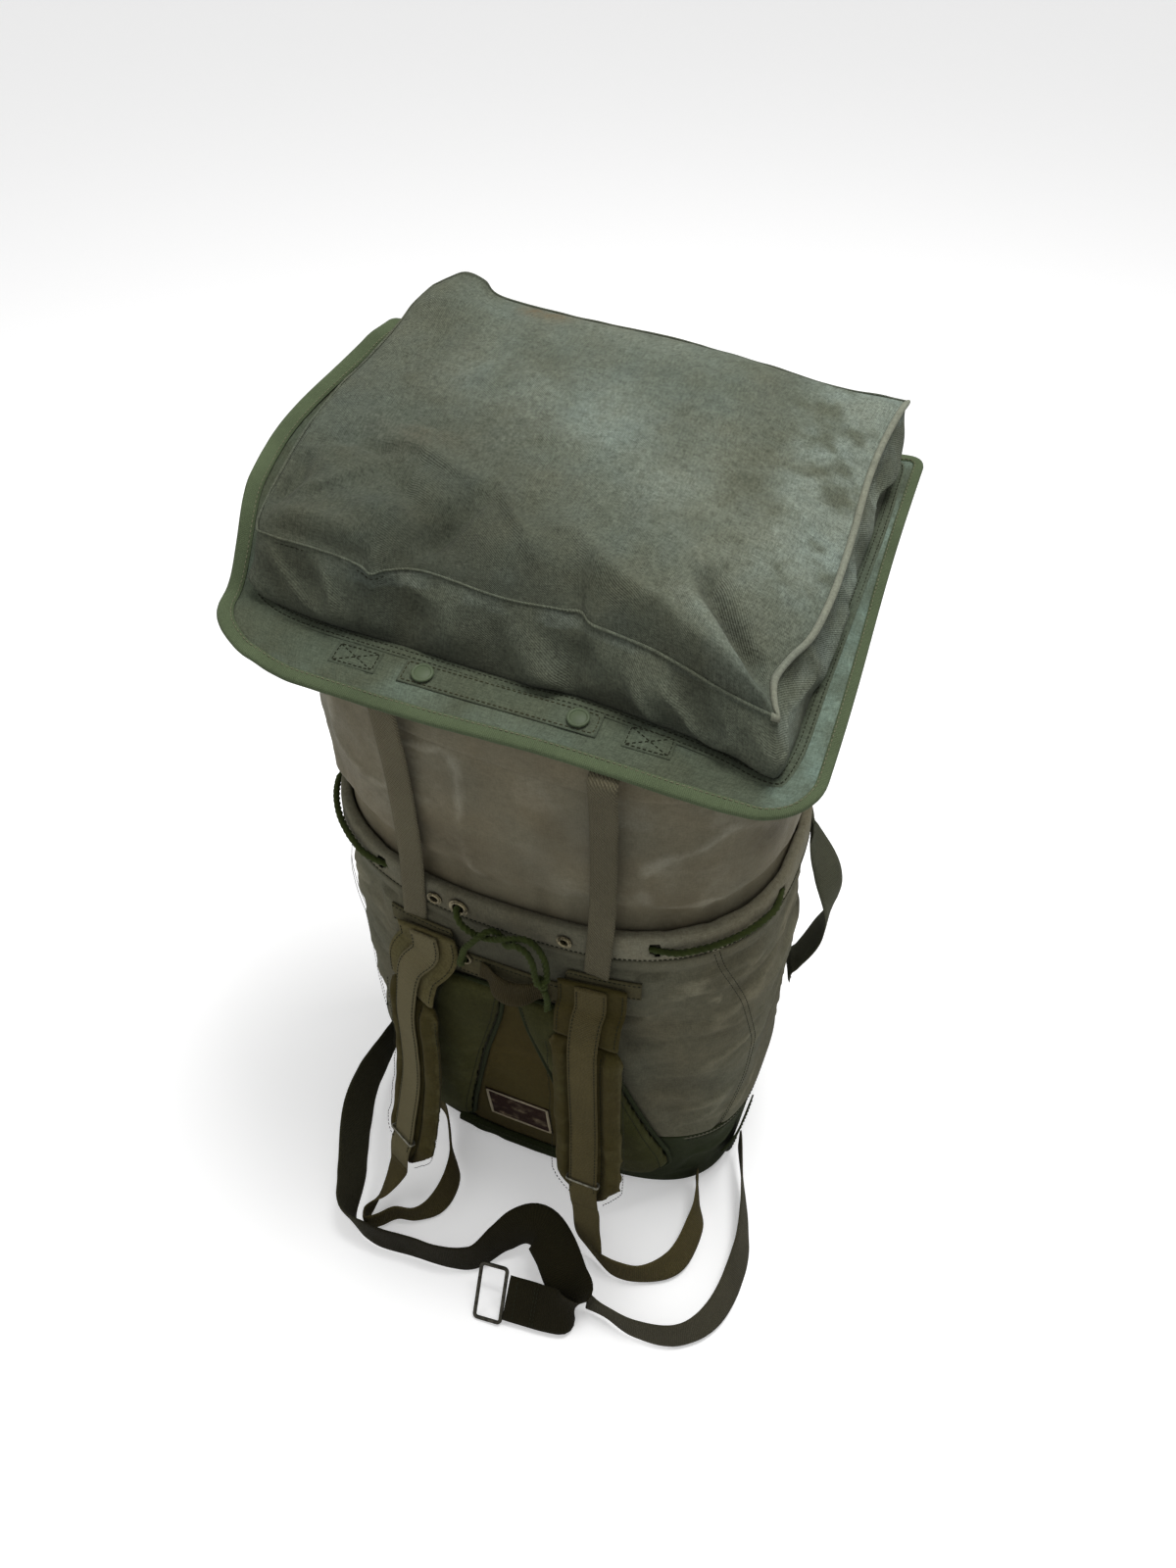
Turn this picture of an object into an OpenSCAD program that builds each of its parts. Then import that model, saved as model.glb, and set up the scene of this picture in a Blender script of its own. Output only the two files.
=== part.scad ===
// Canvas mountain rucksack with a floating lid, drawcord collar and waist belt.
// Millimetres, +Z up, origin at the centre of the base. The harness faces -Y.

/* [Bag] */
// Width of the base
base_w = 338; // [320:1:350]
// Depth of the base
base_d = 207; // [195:1:215]
// Width at the drawcord hem
hem_w = 370; // [355:1:380]
// Depth at the drawcord hem
hem_d = 253; // [242:1:262]
// Height of the drawcord hem at the sides
hem_h = 404; // [390:1:420]
// How far the hem sags in the middle of the harness side
hem_dip = 20; // [0:1:30]
// Width of the collar where the lid rests
top_w = 376; // [360:1:386]
// Depth of the collar where the lid rests
top_d = 262; // [250:1:270]
// Outward swell of the filled bag between base and hem
fullness = 5; // [0:0.5:10]
// Radius of the edge round the base
base_round = 8; // [4:0.5:12]
// Height of the coated boot round the base
boot_h = 110; // [90:1:125]
// Thickness of the canvas as sewn
canvas_t = 2.5; // [1.5:0.1:3]

/* [Hem tunnel and drawcord] */
// Height of the cord tunnel
tunnel_h = 26; // [20:1:32]
// Depth of the cord tunnel, from its outer to its inner skin
tunnel_depth = 9.4; // [9.2:0.1:12]
// Thickness of each skin of the tunnel
tunnel_skin = 1.2; // [0.8:0.1:1.5]
// Diameter of the drawcord
cord_d = 6; // [4:0.25:6.5]
// Hole of the small eyelets
eyelet_bore = 6; // [4:0.5:7]
// Flange of the small eyelets
eyelet_flange = 12; // [10:0.5:13]
// Hole of the cord grommet
grommet_bore = 9; // [8:0.5:10]
// Flange of the cord grommet
grommet_flange = 16; // [14:0.5:17]

/* [Lid] */
// Width of the lid panel
lid_w = 420; // [405:1:430]
// Length of the lid panel
lid_l = 344; // [330:1:352]
// Thickness of the doubled lid panel
lid_t = 2.5; // [1.5:0.1:3.5]
// Radius of the lid's two near corners
lid_corner = 38; // [25:1:45]
// Radius of the lid's two far corners
lid_far_corner = 12; // [6:1:20]
// Height of the lid's near edge
lid_h = 566; // [550:1:580]
// Overhang of the lid past the collar on the harness side
lid_lap = 8.6; // [6:0.1:12]
// Slope of the closed lid, rising to the far side
lid_slope = 10.3; // [6:0.1:13]
// Sideways tilt of the lid on the filled bag
lid_roll = 4.3; // [0:0.1:5]
// Turn of the lid on the filled bag
lid_yaw = 3.1; // [0:0.1:4]
// Width of the edge binding
binding_w = 11; // [8:0.5:13]
// Thickness of the edge binding
binding_t = 1; // [0.6:0.1:1.4]

/* [Lid pocket] */
// Width of the pocket
pocket_w = 358; // [340:1:368]
// Distance of the pocket's near seam from the lid's edge, at the left
pocket_near_left = 58; // [52:1:66]
// Distance of the pocket's near seam from the lid's edge, at the right
pocket_near_right = 44; // [44:1:50]
// Distance of the pocket's far seam from the lid's near edge
pocket_far = 328; // [316:1:329]
// Height of the pocket's upright gusset
gusset_h = 40; // [34:1:46]
// Rise of the pocket's top above the gusset
pocket_rise = 26; // [15:1:32]
// Corner radius of the pocket in plan
pocket_corner = 18; // [12:1:19]
// Outward bow of the pocket's free sides
pocket_bow = 3; // [0.5:0.5:6]
// Width of the zip slot in the left gusset
zip_slot = 12; // [9:0.5:14]
// Length of the zip slot
zip_l = 208; // [190:1:212]
// Travel of the zip slider
zip_travel = 184; // [150:1:186]

/* [Lid fittings] */
// Distance between the two snaps
snap_pitch = 106; // [90:1:110]
// Diameter of a snap cap
snap_d = 15; // [12:0.5:17]
// Length of the snap strip
snap_strip_l = 135; // [128:1:145]
// Width of the snap strip
snap_strip_w = 19; // [17:0.5:20]
// Distance between the two stitched lid anchors
anchor_pitch = 200; // [190:1:204]

/* [Straps] */
// Width of the webbing that holds the lid
lid_web_w = 20; // [16:0.5:24]
// Distance between the two lid straps
lid_web_pitch = 152; // [144:1:160]
// Thickness of all webbing
web_t = 2.2; // [1.5:0.1:2.6]
// Width of a shoulder pad
pad_w = 68; // [60:1:72]
// Thickness of a shoulder pad
pad_t = 13; // [10:0.5:14]
// Width of the doubled strap above a shoulder pad
strap_top_w = 54; // [46:1:58]
// Width of the webbing down the middle of a shoulder strap
strap_web_w = 25; // [20:0.5:27]
// Diameter of the wire keeper on a shoulder strap
keeper_wire = 2; // [1.5:0.1:2.4]
// Width of the waist belt's buckle half
belt_w = 40; // [34:1:42]
// Width of the waist belt's tail half
belt_tail_w = 25; // [20:1:30]
// Wire diameter of the waist belt's buckle frame
frame_wire = 3.4; // [2.4:0.1:4]

/* [Harness] */
// Drop of the yoke's top below the drawcord hem
yoke_drop = 63; // [60:1:72]
// Height of the yoke's tab ends
yoke_tab = 19; // [15:0.5:22]
// Distance between the shoulder straps at the yoke
strap_pitch = 139; // [130:1:144]
// Thickness of the padded back wings
wing_t = 12; // [8:0.5:13]
// Drop of the wings' upper ends below the yoke's top
wing_drop = 49; // [46:1:56]
// Width of the bare label patch
label_w = 62; // [54:1:64]
// Height of the bare label patch
label_h = 50; // [40:1:54]
// Width of the grab handle between its ends
handle_w = 56; // [48:1:58]
// Width of the grab handle's webbing
handle_web_w = 21; // [18:0.5:24]

/* [Hidden] */
$fn = 48;

olive = "#5b5a44";
coated = "#5a5648";
lid_green = "#56604e";
edge_green = "#5c7040";
boot_green = "#2f3f30";
web_olive = "#55523c";
cord_green = "#3f5228";
steel = "#9a9a90";
label_brown = "#3b2420";
foam_grey = "#8a8a80";

// Clearance between pieces that lie on each other
clear = 0.3;
// Points round one section of the bag
ring_n = 44;
fy = hem_d / 2;
bx = base_w / 2;
by = base_d / 2;
yoke_h = hem_h - yoke_drop;
wing_top = yoke_h - wing_drop;

// ---- Small helpers -------------------------------------------------------
function smooth01(t) = let (c = max(0, min(1, t))) c * c * (3 - 2 * c);
function mix(a, b, t) = a + (b - a) * t;
function signed_pow(c, p) = sign(c) * pow(abs(c), p);
function unit(v) = v / norm(v);

// Skin through a list of rings; the first and last are capped unless wrapped
module loft(rings, wrapped = false) {
    n = len(rings[0]);
    m = len(rings);
    sides = [for (j = [0 : wrapped ? m - 1 : m - 2]) for (i = [0 : n - 1])
        let (k = (j + 1) % m, l = (i + 1) % n)
        each [[j * n + i, k * n + i, k * n + l], [j * n + i, k * n + l, j * n + l]]];
    caps = wrapped ? [] : [[for (i = [0 : n - 1]) i], [for (i = [n - 1 : -1 : 0]) (m - 1) * n + i]];
    polyhedron([for (r = rings) each r], concat(sides, caps), convexity = 6);
}

// Solid between two grids of points, rows by columns, front grid facing out
module slab(front, back) {
    rows = len(front);
    cols = len(front[0]);
    loft([for (r = [0 : rows - 1])
        concat([for (c = [cols - 1 : -1 : 0]) back[r][c]], [for (c = [0 : cols - 1]) front[r][c]])]);
}

// Smooth curve through hand-placed stations of any length of vector
function station(p, i) = p[max(0, min(len(p) - 1, i))];
function spline_at(p, i, t) =
    let (a = station(p, i - 1), b = station(p, i), c = station(p, i + 1), d = station(p, i + 2))
    0.5 * (2 * b + (c - a) * t + (2 * a - 5 * b + 4 * c - d) * t * t + (3 * b - a - 3 * c + d) * t * t * t);
function spline(p, steps) =
    concat([for (i = [0 : len(p) - 2]) for (s = [0 : steps - 1]) spline_at(p, i, s / steps)],
        [p[len(p) - 1]]);
function xyz(s) = [s[0], s[1], s[2]];
function tangent(c, i) = unit(xyz(c[min(len(c) - 1, i + 1)]) - xyz(c[max(0, i - 1)]));

// Flat webbing along stations [x, y, z, width direction x, y, z]
module ribbon(stations, width, thick, steps = 4) {
    c = spline(stations, steps);
    loft([for (i = [0 : len(c) - 1])
        let (t = tangent(c, i), w0 = [c[i][3], c[i][4], c[i][5]],
            w = unit(w0 - (w0 * t) * t) * width / 2, n = cross(t, unit(w)) * thick / 2)
        [xyz(c[i]) + w - n, xyz(c[i]) + w + n, xyz(c[i]) - w + n, xyz(c[i]) - w - n]]);
}

// Padded strap along stations [x, y, z, width direction x, y, z, half width, half thickness]
module padded_strap(stations, shrink = 0, steps = 2, sides = 12) {
    c = spline(stations, steps);
    loft([for (i = [0 : len(c) - 1])
        let (t = tangent(c, i), w0 = [c[i][3], c[i][4], c[i][5]],
            w = unit(w0 - (w0 * t) * t), n = cross(t, w))
        [for (k = [0 : sides - 1]) let (a = 360 * k / sides)
            xyz(c[i]) + w * (c[i][6] - shrink) * signed_pow(cos(a), 0.45)
                + n * (c[i][7] - shrink) * signed_pow(sin(a), 0.75)]]);
}

// Round cord through points, with a fixed reference direction for its rings
module cord_tube(points, radius, sides = 8, steps = 2) {
    c = spline(points, steps);
    loft([for (i = [0 : len(c) - 1])
        let (t = tangent(c, i), ref = abs(t[0]) < 0.8 ? [1, 0, 0] : [0, 0, 1],
            u = unit(ref - (ref * t) * t), v = cross(t, u))
        [for (k = [0 : sides - 1]) let (a = 360 * k / sides)
            xyz(c[i]) + radius * (cos(a) * u + sin(a) * v)]]);
}

// ---- Bag form ------------------------------------------------------------
function rise(z) = max(0, min(1, z / hem_h));
function upper(z) = smooth01((z - hem_h) / (lid_h - hem_h));
function swell(z) = fullness * sin(180 * rise(z));
function half_w(z) = mix(mix(bx, hem_w / 2, 1 - pow(1 - rise(z), 3)), top_w / 2, upper(z)) + swell(z);
function half_d(z) = mix(mix(by, hem_d / 2, 1 - pow(1 - rise(z), 3)), top_d / 2, upper(z)) + swell(z) * 0.5;
function power(z) = mix(3.3, 2.8, rise(z));
function section(a, b, p, t) = [a * signed_pow(cos(t), 2 / p), b * signed_pow(sin(t), 2 / p)];
sag_start = 290;
sag_end = 70;
function sag(z, t) = hem_dip * pow(max(0, -sin(t)), 3)
    * (z < hem_h ? smooth01((z - sag_start) / (hem_h - tunnel_h - sag_start))
        : 1 - smooth01((z - hem_h) / sag_end));
function bag_point(z, inset, t) =
    let (p = section(half_w(z) - inset, half_d(z) - inset, power(z), t)) [p[0], p[1], z - sag(z, t)];
function bag_ring(z, inset) = [for (i = [0 : ring_n - 1]) bag_point(z, inset, 360 * i / ring_n)];

// Half depth of the bag at x and z, and points off its near and far faces
function face_y(x, z) = half_d(z) * pow(1 - pow(min(0.999, abs(x) / half_w(z)), power(z)), 1 / power(z));
function near(x, z, off) = [x, -face_y(x, z) - off, z];

// ---- Lid frame: origin on the underside at the middle of the near edge ----
lid_y = -(top_d / 2 + lid_lap);
module lid_frame() {
    translate([0, lid_y, lid_h]) rotate([0, lid_roll, lid_yaw]) rotate([lid_slope, 0, 0]) children();
}
function turn_x(p, a) = [p[0], p[1] * cos(a) - p[2] * sin(a), p[1] * sin(a) + p[2] * cos(a)];
function turn_y(p, a) = [p[0] * cos(a) + p[2] * sin(a), p[1], p[2] * cos(a) - p[0] * sin(a)];
function turn_z(p, a) = [p[0] * cos(a) - p[1] * sin(a), p[0] * sin(a) + p[1] * cos(a), p[2]];
function lid_dir(p) = turn_z(turn_y(turn_x(p, lid_slope), lid_roll), lid_yaw);
function lid_point(p) = lid_dir(p) + [0, lid_y, lid_h];
// Gap under the lid for its webbing, which rests on the collar
rest_gap = web_t + 2 * clear;
lid_up = lid_dir([0, 0, 1]);
function lid_plane_z(x, y) = lid_h - (rest_gap + lid_up[0] * x + lid_up[1] * (y - lid_y)) / lid_up[2];

// ---- Bag body ------------------------------------------------------------
boot_floor = 4;

module base_boot() {
    color(boot_green) loft(concat(
        [for (a = [0 : 30 : 90]) bag_ring(base_round * (1 - cos(a)), base_round * (1 - sin(a)))],
        [for (z = [50, boot_h]) bag_ring(z, 0)],
        [for (z = [boot_h, 50, base_round]) bag_ring(z, canvas_t)],
        [bag_ring(boot_floor, base_round)]), wrapped = true);
}

// Bottom cloth, sewn in along the boot's lower edge
module base_panel() {
    color(boot_green) loft([for (z = [0, boot_floor]) bag_ring(z, base_round + clear)]);
}

tunnel_z = hem_h - tunnel_h;

module lower_bag() {
    levels = [boot_h, 180, sag_start, mix(sag_start, tunnel_z, 0.5), tunnel_z];
    last = len(levels) - 1;
    color(olive) loft(concat([for (z = levels) bag_ring(z, 0)],
        [for (k = [last : -1 : 0]) bag_ring(levels[k], canvas_t)]), wrapped = true);
}

// Where the cord runs round the hem: inside the tunnel, and outside it past both near corners
cord_mid = (tunnel_depth) / 2;
cord_out = -cord_d / 2 - clear;
function corner_share(t) =
    let (off = abs(abs(t + 90) - 54)) 1 - smooth01((off - 17) / 14);
function cord_inset(t) = mix(cord_mid, cord_out, corner_share(t));
cord_z = hem_h - tunnel_h / 2;
cord_from = -98;
cord_turns = 350;
cord_rings = 66;
function cord_route(first, last, count) = [for (k = [0 : count])
    let (t = mix(first, last, k / count), w = t > 90 ? t - 360 : t) bag_point(cord_z, cord_inset(w), t)];

module hem_skin(outer_inset, inner_inset, low, high) {
    loft([bag_ring(low, outer_inset), bag_ring((low + high) / 2, outer_inset), bag_ring(high, outer_inset),
        bag_ring(high, inner_inset), bag_ring((low + high) / 2, inner_inset), bag_ring(low, inner_inset)],
        wrapped = true);
}

eyelet_x = [-61, 46];
grommet_x = -40;
eyelet_z = tunnel_z + tunnel_h / 2 - hem_dip;

module near_hole(x, z, bore, depth) {
    translate([x, -face_y(x, z) + depth, z]) rotate([90, 0, 0]) cylinder(d = bore, h = depth + 10);
}

module hem_tunnel() {
    color(olive) difference() {
        hem_skin(0, tunnel_depth, tunnel_z + clear, hem_h);
        hem_skin(tunnel_skin, tunnel_depth - tunnel_skin, tunnel_z + clear + tunnel_skin, hem_h - tunnel_skin);
        near_hole(grommet_x, eyelet_z, grommet_bore + 2, 5);
        for (x = eyelet_x) near_hole(x, eyelet_z, eyelet_bore + 2, 5);
        for (side = [-90, 90]) cord_tube(cord_route(side * 0.2 - 90, side * 1.02 - 90, 16),
            cord_d / 2 + 1.4, 8, 1);
    }
}

module drawcord() {
    color(cord_green) cord_tube(cord_route(cord_from + 4, cord_from + cord_turns, cord_rings), cord_d / 2, 8, 1);
}

// The collar is sewn inside the tunnel and swells out above it
collar_low = tunnel_z;
function collar_inset(z) = (tunnel_depth + 2 * clear) * (1 - smooth01((z - hem_h - 4) / 30));
function collar_ring(share, extra) = [for (i = [0 : ring_n - 1])
    let (t = 360 * i / ring_n,
        z_guess = mix(collar_low, lid_h, share),
        p = section(half_w(z_guess) - collar_inset(z_guess) - extra,
            half_d(z_guess) - collar_inset(z_guess) - extra, power(z_guess), t),
        low = collar_low - sag(collar_low, t), high = lid_plane_z(p[0], p[1]))
    [p[0], p[1], mix(low, high, share)]];
collar_shares = [0, 0.13, 0.2, 0.3, 0.6, 1];

module extension_collar() {
    color(coated) loft(concat([for (s = collar_shares) collar_ring(s, 0)],
        [for (k = [len(collar_shares) - 1 : -1 : 0]) collar_ring(collar_shares[k], canvas_t * 0.8)]),
        wrapped = true);
}

collar_hem_h = 24;

module collar_hem() {
    inner = canvas_t * 0.8 + clear;
    share = 1 - collar_hem_h / ((1 - collar_shares[4]) * (lid_h - collar_low));
    function low_ring(extra) = mix(collar_ring(collar_shares[4], extra), collar_ring(1, extra), share);
    color(coated) loft([low_ring(inner), collar_ring(1, inner), collar_ring(1, inner + 1.5),
        low_ring(inner + 1.5)], wrapped = true);
}

// ---- Eyelets, seen as rolled brass rings with a flange and a barrel -------
module eyelet(x, z, bore, flange, off = 0, deep = 1.6) {
    roll = 1.1;
    translate([x, -face_y(x, z) - off - clear, z]) rotate([90, 0, 0]) rotate_extrude()
        difference() {
            union() {
                translate([bore / 2, -deep]) square([0.9, deep]);
                translate([bore / 2, 0]) square([(flange - bore) / 2, 0.9]);
                translate([bore / 2 + roll, 0.9]) circle(r = roll, $fn = 20);
            }
            translate([0, -5]) square([bore / 2, 12]);
        }
}

module small_eyelets() {
    color(steel) for (x = eyelet_x) eyelet(x, eyelet_z, eyelet_bore, eyelet_flange);
}

module cord_grommet() {
    color(steel) eyelet(grommet_x, eyelet_z, grommet_bore, grommet_flange);
}

yoke_eyelet_x = -38;
yoke_eyelet_z = yoke_h - 26;
yoke_t = 2;

module yoke_eyelet() {
    color(steel) eyelet(yoke_eyelet_x, yoke_eyelet_z, eyelet_bore + 2, eyelet_flange + 1, yoke_t + 2 * clear, 2.2);
}

// Free ends of the drawcord: out of the grommet, across, down to the knot, and back to the yoke eyelet
cord_end_points = [
    [-40, -123, 371], [-40, -131, 371], [-34, -136, 364], [-22, -136, 357], [-8, -136, 359],
    [6, -136, 366], [18, -136, 371], [26, -136, 368], [32, -136, 358], [35, -137, 347],
    [36, -140, 336], [32, -144, 333], [29, -144, 341], [27, -143, 354], [22, -142, 365],
    [12, -142, 371], [1, -142, 362], [-10, -142, 352], [-20, -142, 350],
    [-28, -141, 344], [-34, -140, 332], [-37, -140, 322], [-38, -136, 315], [-38, -128, 315]];
cord_tail_points = [[35, -143, 326], [36.5, -142, 317], [36.5, -141, 308], [35.5, -140, 299]];
knot_at = [33, -141, 332];

module drawcord_ends() {
    color(cord_green) cord_tube(cord_end_points, cord_d / 2 - 0.2, 8, 1);
}

module cord_knot() {
    color(cord_green) union() {
        translate(knot_at) rotate([70, 0, 30]) rotate_extrude($fn = 24)
            translate([4.2, 0]) circle(d = cord_d, $fn = 16);
        cord_tube(cord_tail_points, cord_d / 2, 8, 2);
    }
}

// ---- Back of the bag -----------------------------------------------------
// Wing outline: [share of the wing's height, inner x, outer x] from the lower end to the upper
wing_low = 38;
wing_outline = [[0, 66, 100], [0.04, 60, 120], [0.11, 57, 131], [0.205, 52, 129], [0.36, 43, 116],
    [0.6, 29, 96], [0.835, 12, 76], [1, 5, 58]];
wing_rows = [for (r = wing_outline) [mix(wing_low, wing_top, r[0]), r[1], r[2]]];
function wing_edge(k, col) = wing_rows[k][col];
function wing_bulge(u, v) = (1 - pow(2 * u - 1, 4)) * (1 - pow(2 * v - 1, 6));

module wing(side, inset, low, high) {
    cols = 8;
    last = len(wing_rows) - 1;
    function x_at(k, u) = side * mix(wing_edge(k, 1) + inset, wing_edge(k, 2) - inset, u);
    function z_at(k) = wing_edge(k, 0) + (k == 0 ? inset : k == last ? -inset : 0);
    function grid(base, swell_t) = [for (k = [0 : last]) [for (c = [0 : cols])
        let (u = side > 0 ? c / cols : 1 - c / cols)
        near(x_at(k, u), z_at(k), base + swell_t * wing_bulge(u, k / last))]];
    slab(grid(high[0], high[1]), grid(low, 0));
}

wing_skin = 1.2;

module wing_cover(side) {
    color(boot_green) difference() {
        wing(side, 0, 2 * clear, [clear + 4.2, wing_t - 4.2]);
        wing(side, 3, 2 * clear + wing_skin, [clear + 4.2 - wing_skin, wing_t - 4.7]);
    }
}

module wing_foam(side) {
    color(foam_grey) wing(side, 4.5, 3 * clear + wing_skin, [clear + 3.8 - wing_skin, wing_t - 5.4]);
}

module wing_cover_left() { wing_cover(-1); }
module wing_cover_right() { wing_cover(1); }
module wing_foam_left() { wing_foam(-1); }
module wing_foam_right() { wing_foam(1); }

// Plain sheet on the near face between two x limits, by rows of [height, half width]
module face_sheet(rows, off, thick, cols = 6) {
    function grid(d) = [for (r = rows) [for (c = [0 : cols]) near(mix(-r[1], r[1], c / cols), r[0], d)]];
    slab(grid(off + thick), grid(off));
}

binding_low = 12;
binding_high = 26;
panel_gap = 2;
panel_low = binding_high + clear;

module back_panel() {
    color(olive) face_sheet(concat([[panel_low, 58]],
        [for (k = [0 : len(wing_rows) - 2]) [wing_rows[k][0], wing_rows[k][1] - panel_gap]]), clear, 1.5);
}

module bottom_binding() {
    color(boot_green) face_sheet([[binding_low, 78], [(binding_low + binding_high) / 2, 80],
        [binding_high, 78]], clear, 3);
}

label_x = -9;
label_z = 89;

module label_patch() {
    function grid(d) = [for (z = [label_z - label_h / 2, label_z + label_h / 2])
        [for (c = [0 : 4]) near(label_x + mix(-label_w / 2, label_w / 2, c / 4), z, d)]];
    color(label_brown) slab(grid(clear + 1.5 + clear + 0.9), grid(clear + 1.5 + clear));
}

// Yoke across the back: tab ends under the shoulder straps, lower in the middle
yoke_half = 105;
yoke_mid_low = wing_top + 2;
yoke_mid_high = yoke_h - 21;

yoke_step = 46;
yoke_cols = [yoke_half, 96, 86, 76, 66, 57, yoke_step + 3, yoke_step, yoke_step - 3, 30, 15, 0];

module yoke_band() {
    columns = concat(yoke_cols, [for (k = [len(yoke_cols) - 2 : -1 : 0]) -yoke_cols[k]]);
    function lift(x) = smooth01((abs(x) - yoke_step + 3) / 6);
    function level(x, v) = mix(mix(yoke_mid_low, yoke_mid_high, v), yoke_h - yoke_tab * (1 - v), lift(x));
    function grid(off) = [for (x = columns) [for (v = [0, 0.5, 1]) near(x, level(x, v), off)]];
    color(web_olive) difference() {
        slab(grid(2 * clear + yoke_t), grid(2 * clear));
        near_hole(yoke_eyelet_x, yoke_eyelet_z, eyelet_bore + 4.6, 1);
    }
}

// ---- Lid straps and side loops -------------------------------------------
lid_web_low = yoke_h + 1.5;
lid_web_slant = 5;
axis_gap = 8;

module lid_strap(side) {
    x = side * lid_web_pitch / 2;
    top = lid_point([x, 0, -axis_gap]);
    color(web_olive) ribbon([
        concat(near(x - lid_web_slant, lid_web_low, 2), [1, 0, 0]),
        concat(near(x - lid_web_slant / 2, hem_h - 25, 2.2), [1, 0, 0]),
        concat(near(x, hem_h + 20, 2.4), [1, 0, 0]),
        concat([x + lid_web_slant / 2, -face_y(x, hem_h + 90) - 4, hem_h + 90], [1, 0, 0]),
        [x + lid_web_slant, lid_y + 3.5, top[2] - 22, 1, 0, 0],
        [x + lid_web_slant, lid_y + 1, top[2], 1, 0, 0]], lid_web_w, web_t, 3);
}

module lid_strap_left() { lid_strap(-1); }
module lid_strap_right() { lid_strap(1); }

loop_high = hem_h - 38;
loop_low = loop_high - 178;
loop_y = 60;
loop_w = 28;
loop_bulge = 27;

module side_loop(side) {
    function along(z) = unit(side_wall(side, loop_y + loop_w / 2, z, 0) - side_wall(side, loop_y - loop_w / 2, z, 0));
    function at(z, off) = concat(side_wall(side, loop_y, z, off), along(z));
    mid = (loop_low + loop_high) / 2;
    color(web_olive) ribbon([at(loop_high + 14, 1.6), at(loop_high, 1.6), at(loop_high - 14, 6),
        at(mid + 38, loop_bulge * 0.75), at(mid, loop_bulge), at(mid - 40, loop_bulge * 0.7),
        at(loop_low + 12, 7), at(loop_low, 1.6), at(loop_low - 14, 1.6)], loop_w, web_t, 3);
}

module side_loop_left() { side_loop(-1); }
module side_loop_right() { side_loop(1); }

// ---- Lower webbing, lying on the floor between each strap and the base ----
module lower_webbing_right() {
    edge = strap_web_w / 2 + 0.3;
    color(web_olive) ribbon([
        concat(right_strap(12), [1, 0, 0]), [80, -fy - 50, 68, 1, 0, 0.1], [83, -fy - 54, 38, 0.9, 0, 0.5],
        [92, -fy - 58, edge + 2, 0.3, -0.2, 1], [112, -fy - 64, edge, 0, 0, 1],
        [137, -fy - 59, edge, 0, 0, 1], [bx - 9, -fy - 36, edge, 0, 0, 1], [bx - 4, -by - 22, edge, 0, 0, 1],
        [bx - 10, -by + 2, edge + 2, 0, 0, 1],
        concat(near(bx - 18, edge + 4, 2.2), [0, 0, 1])], strap_web_w, web_t, 4);
}

module lower_webbing_left() {
    edge = strap_web_w / 2 + 0.3;
    color(web_olive) ribbon([
        concat(left_strap(9), [0.9, -0.42, 0]), [-101, -fy - 66, 44, 0.9, -0.4, 0.3],
        [-110, -fy - 82, 22, 0.5, -0.3, 0.8], [-117, -fy - 100, edge, 0, 0, 1],
        [-113, -fy - 111, edge, 0, 0, 1], [-103, -fy - 104, edge, 0, 0, 1],
        [-92, -fy - 92, edge, 0, 0, 1], [-74, -fy - 86, edge, 0, 0, 1], [-61, -fy - 66, edge, 0, 0, 1],
        [-62, -fy - 36, edge, 0, 0, 1], [-78, -fy - 10, edge, 0, 0, 1],
        concat(near(-96, edge + 4, 8.5), [0, 0, 1]), concat(near(-112, edge + 5, 3.3), [0, 0, 1])],
        strap_web_w, web_t, 4);
}

// ---- Waist belt ----------------------------------------------------------
anchor_z = 24;
function belt_root(side, off) = [side * (half_w(anchor_z) * 0.985 + off), -by * 0.33, anchor_z];

// Triangular canvas patches that hold the belt at the lower corners
anchor_rows = [[anchor_z - 20, 6], [anchor_z, 20], [anchor_z + 22, 34]];
function side_wall(side, y, z, off) =
    [side * (half_w(z) * pow(1 - pow(abs(y) / half_d(z), power(z)), 1 / power(z)) + off), y, z];
function anchor_grid(side, off) = [for (r = anchor_rows) [for (c = [0 : 3])
    side_wall(side, -by * 0.3 + side * mix(-r[1], r[1], c / 3), r[0], off)]];

module belt_anchors() {
    color(boot_green) for (side = [-1, 1])
        slab(anchor_grid(side, clear + 2.6), anchor_grid(side, clear + 1));
}

belt_edge = belt_w / 2 + 0.4;
tail_edge = belt_tail_w / 2 + 0.4;

module belt_buckle_half() {
    root = belt_root(-1, 8.1);
    color(web_olive) ribbon([
        concat(root, [0, 0, 1]), [root[0] - 5, root[1] - 14, anchor_z, 0, 0, 1],
        [-bx - 19, -by - 6, 22, 0, 0, 1], [-bx - 12, -by - 46, belt_edge, 0, 0, 1],
        [-154, -by - 96, belt_edge, 0, 0, 1],
        [-131, -by - 134, belt_edge, 0, 0, 1], [-100, -by - 144, belt_edge, 0, 0, 1],
        [-62, -by - 141, belt_edge, 0, 0, 1],
        [-26, -by - 137, belt_edge, 0, 0, 1], [-4, -by - 128, 22, 0, 0.1, 1], [12, -by - 109, 32, 0, 0.3, 1],
        [27, -by - 96, 42, 0.3, 0.5, 0.8], [44, -by - 92, 46, 0.6, 0.5, 0.4],
        [62, -by - 102, 41, 0.9, 0.35, 0.1], [78, -by - 117, 28, 0.9, 0.4, 0.1],
        [84, -by - 130, 20, 0.7, 0.5, 0.5], [76, -by - 142, 18, 0.2, 0.6, 0.75],
        [58, -by - 145, 17, -0.1, 0.69, 0.72], [36, -by - 148, 17, -0.1, 0.69, 0.72]], belt_w, web_t, 3);
}

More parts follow.
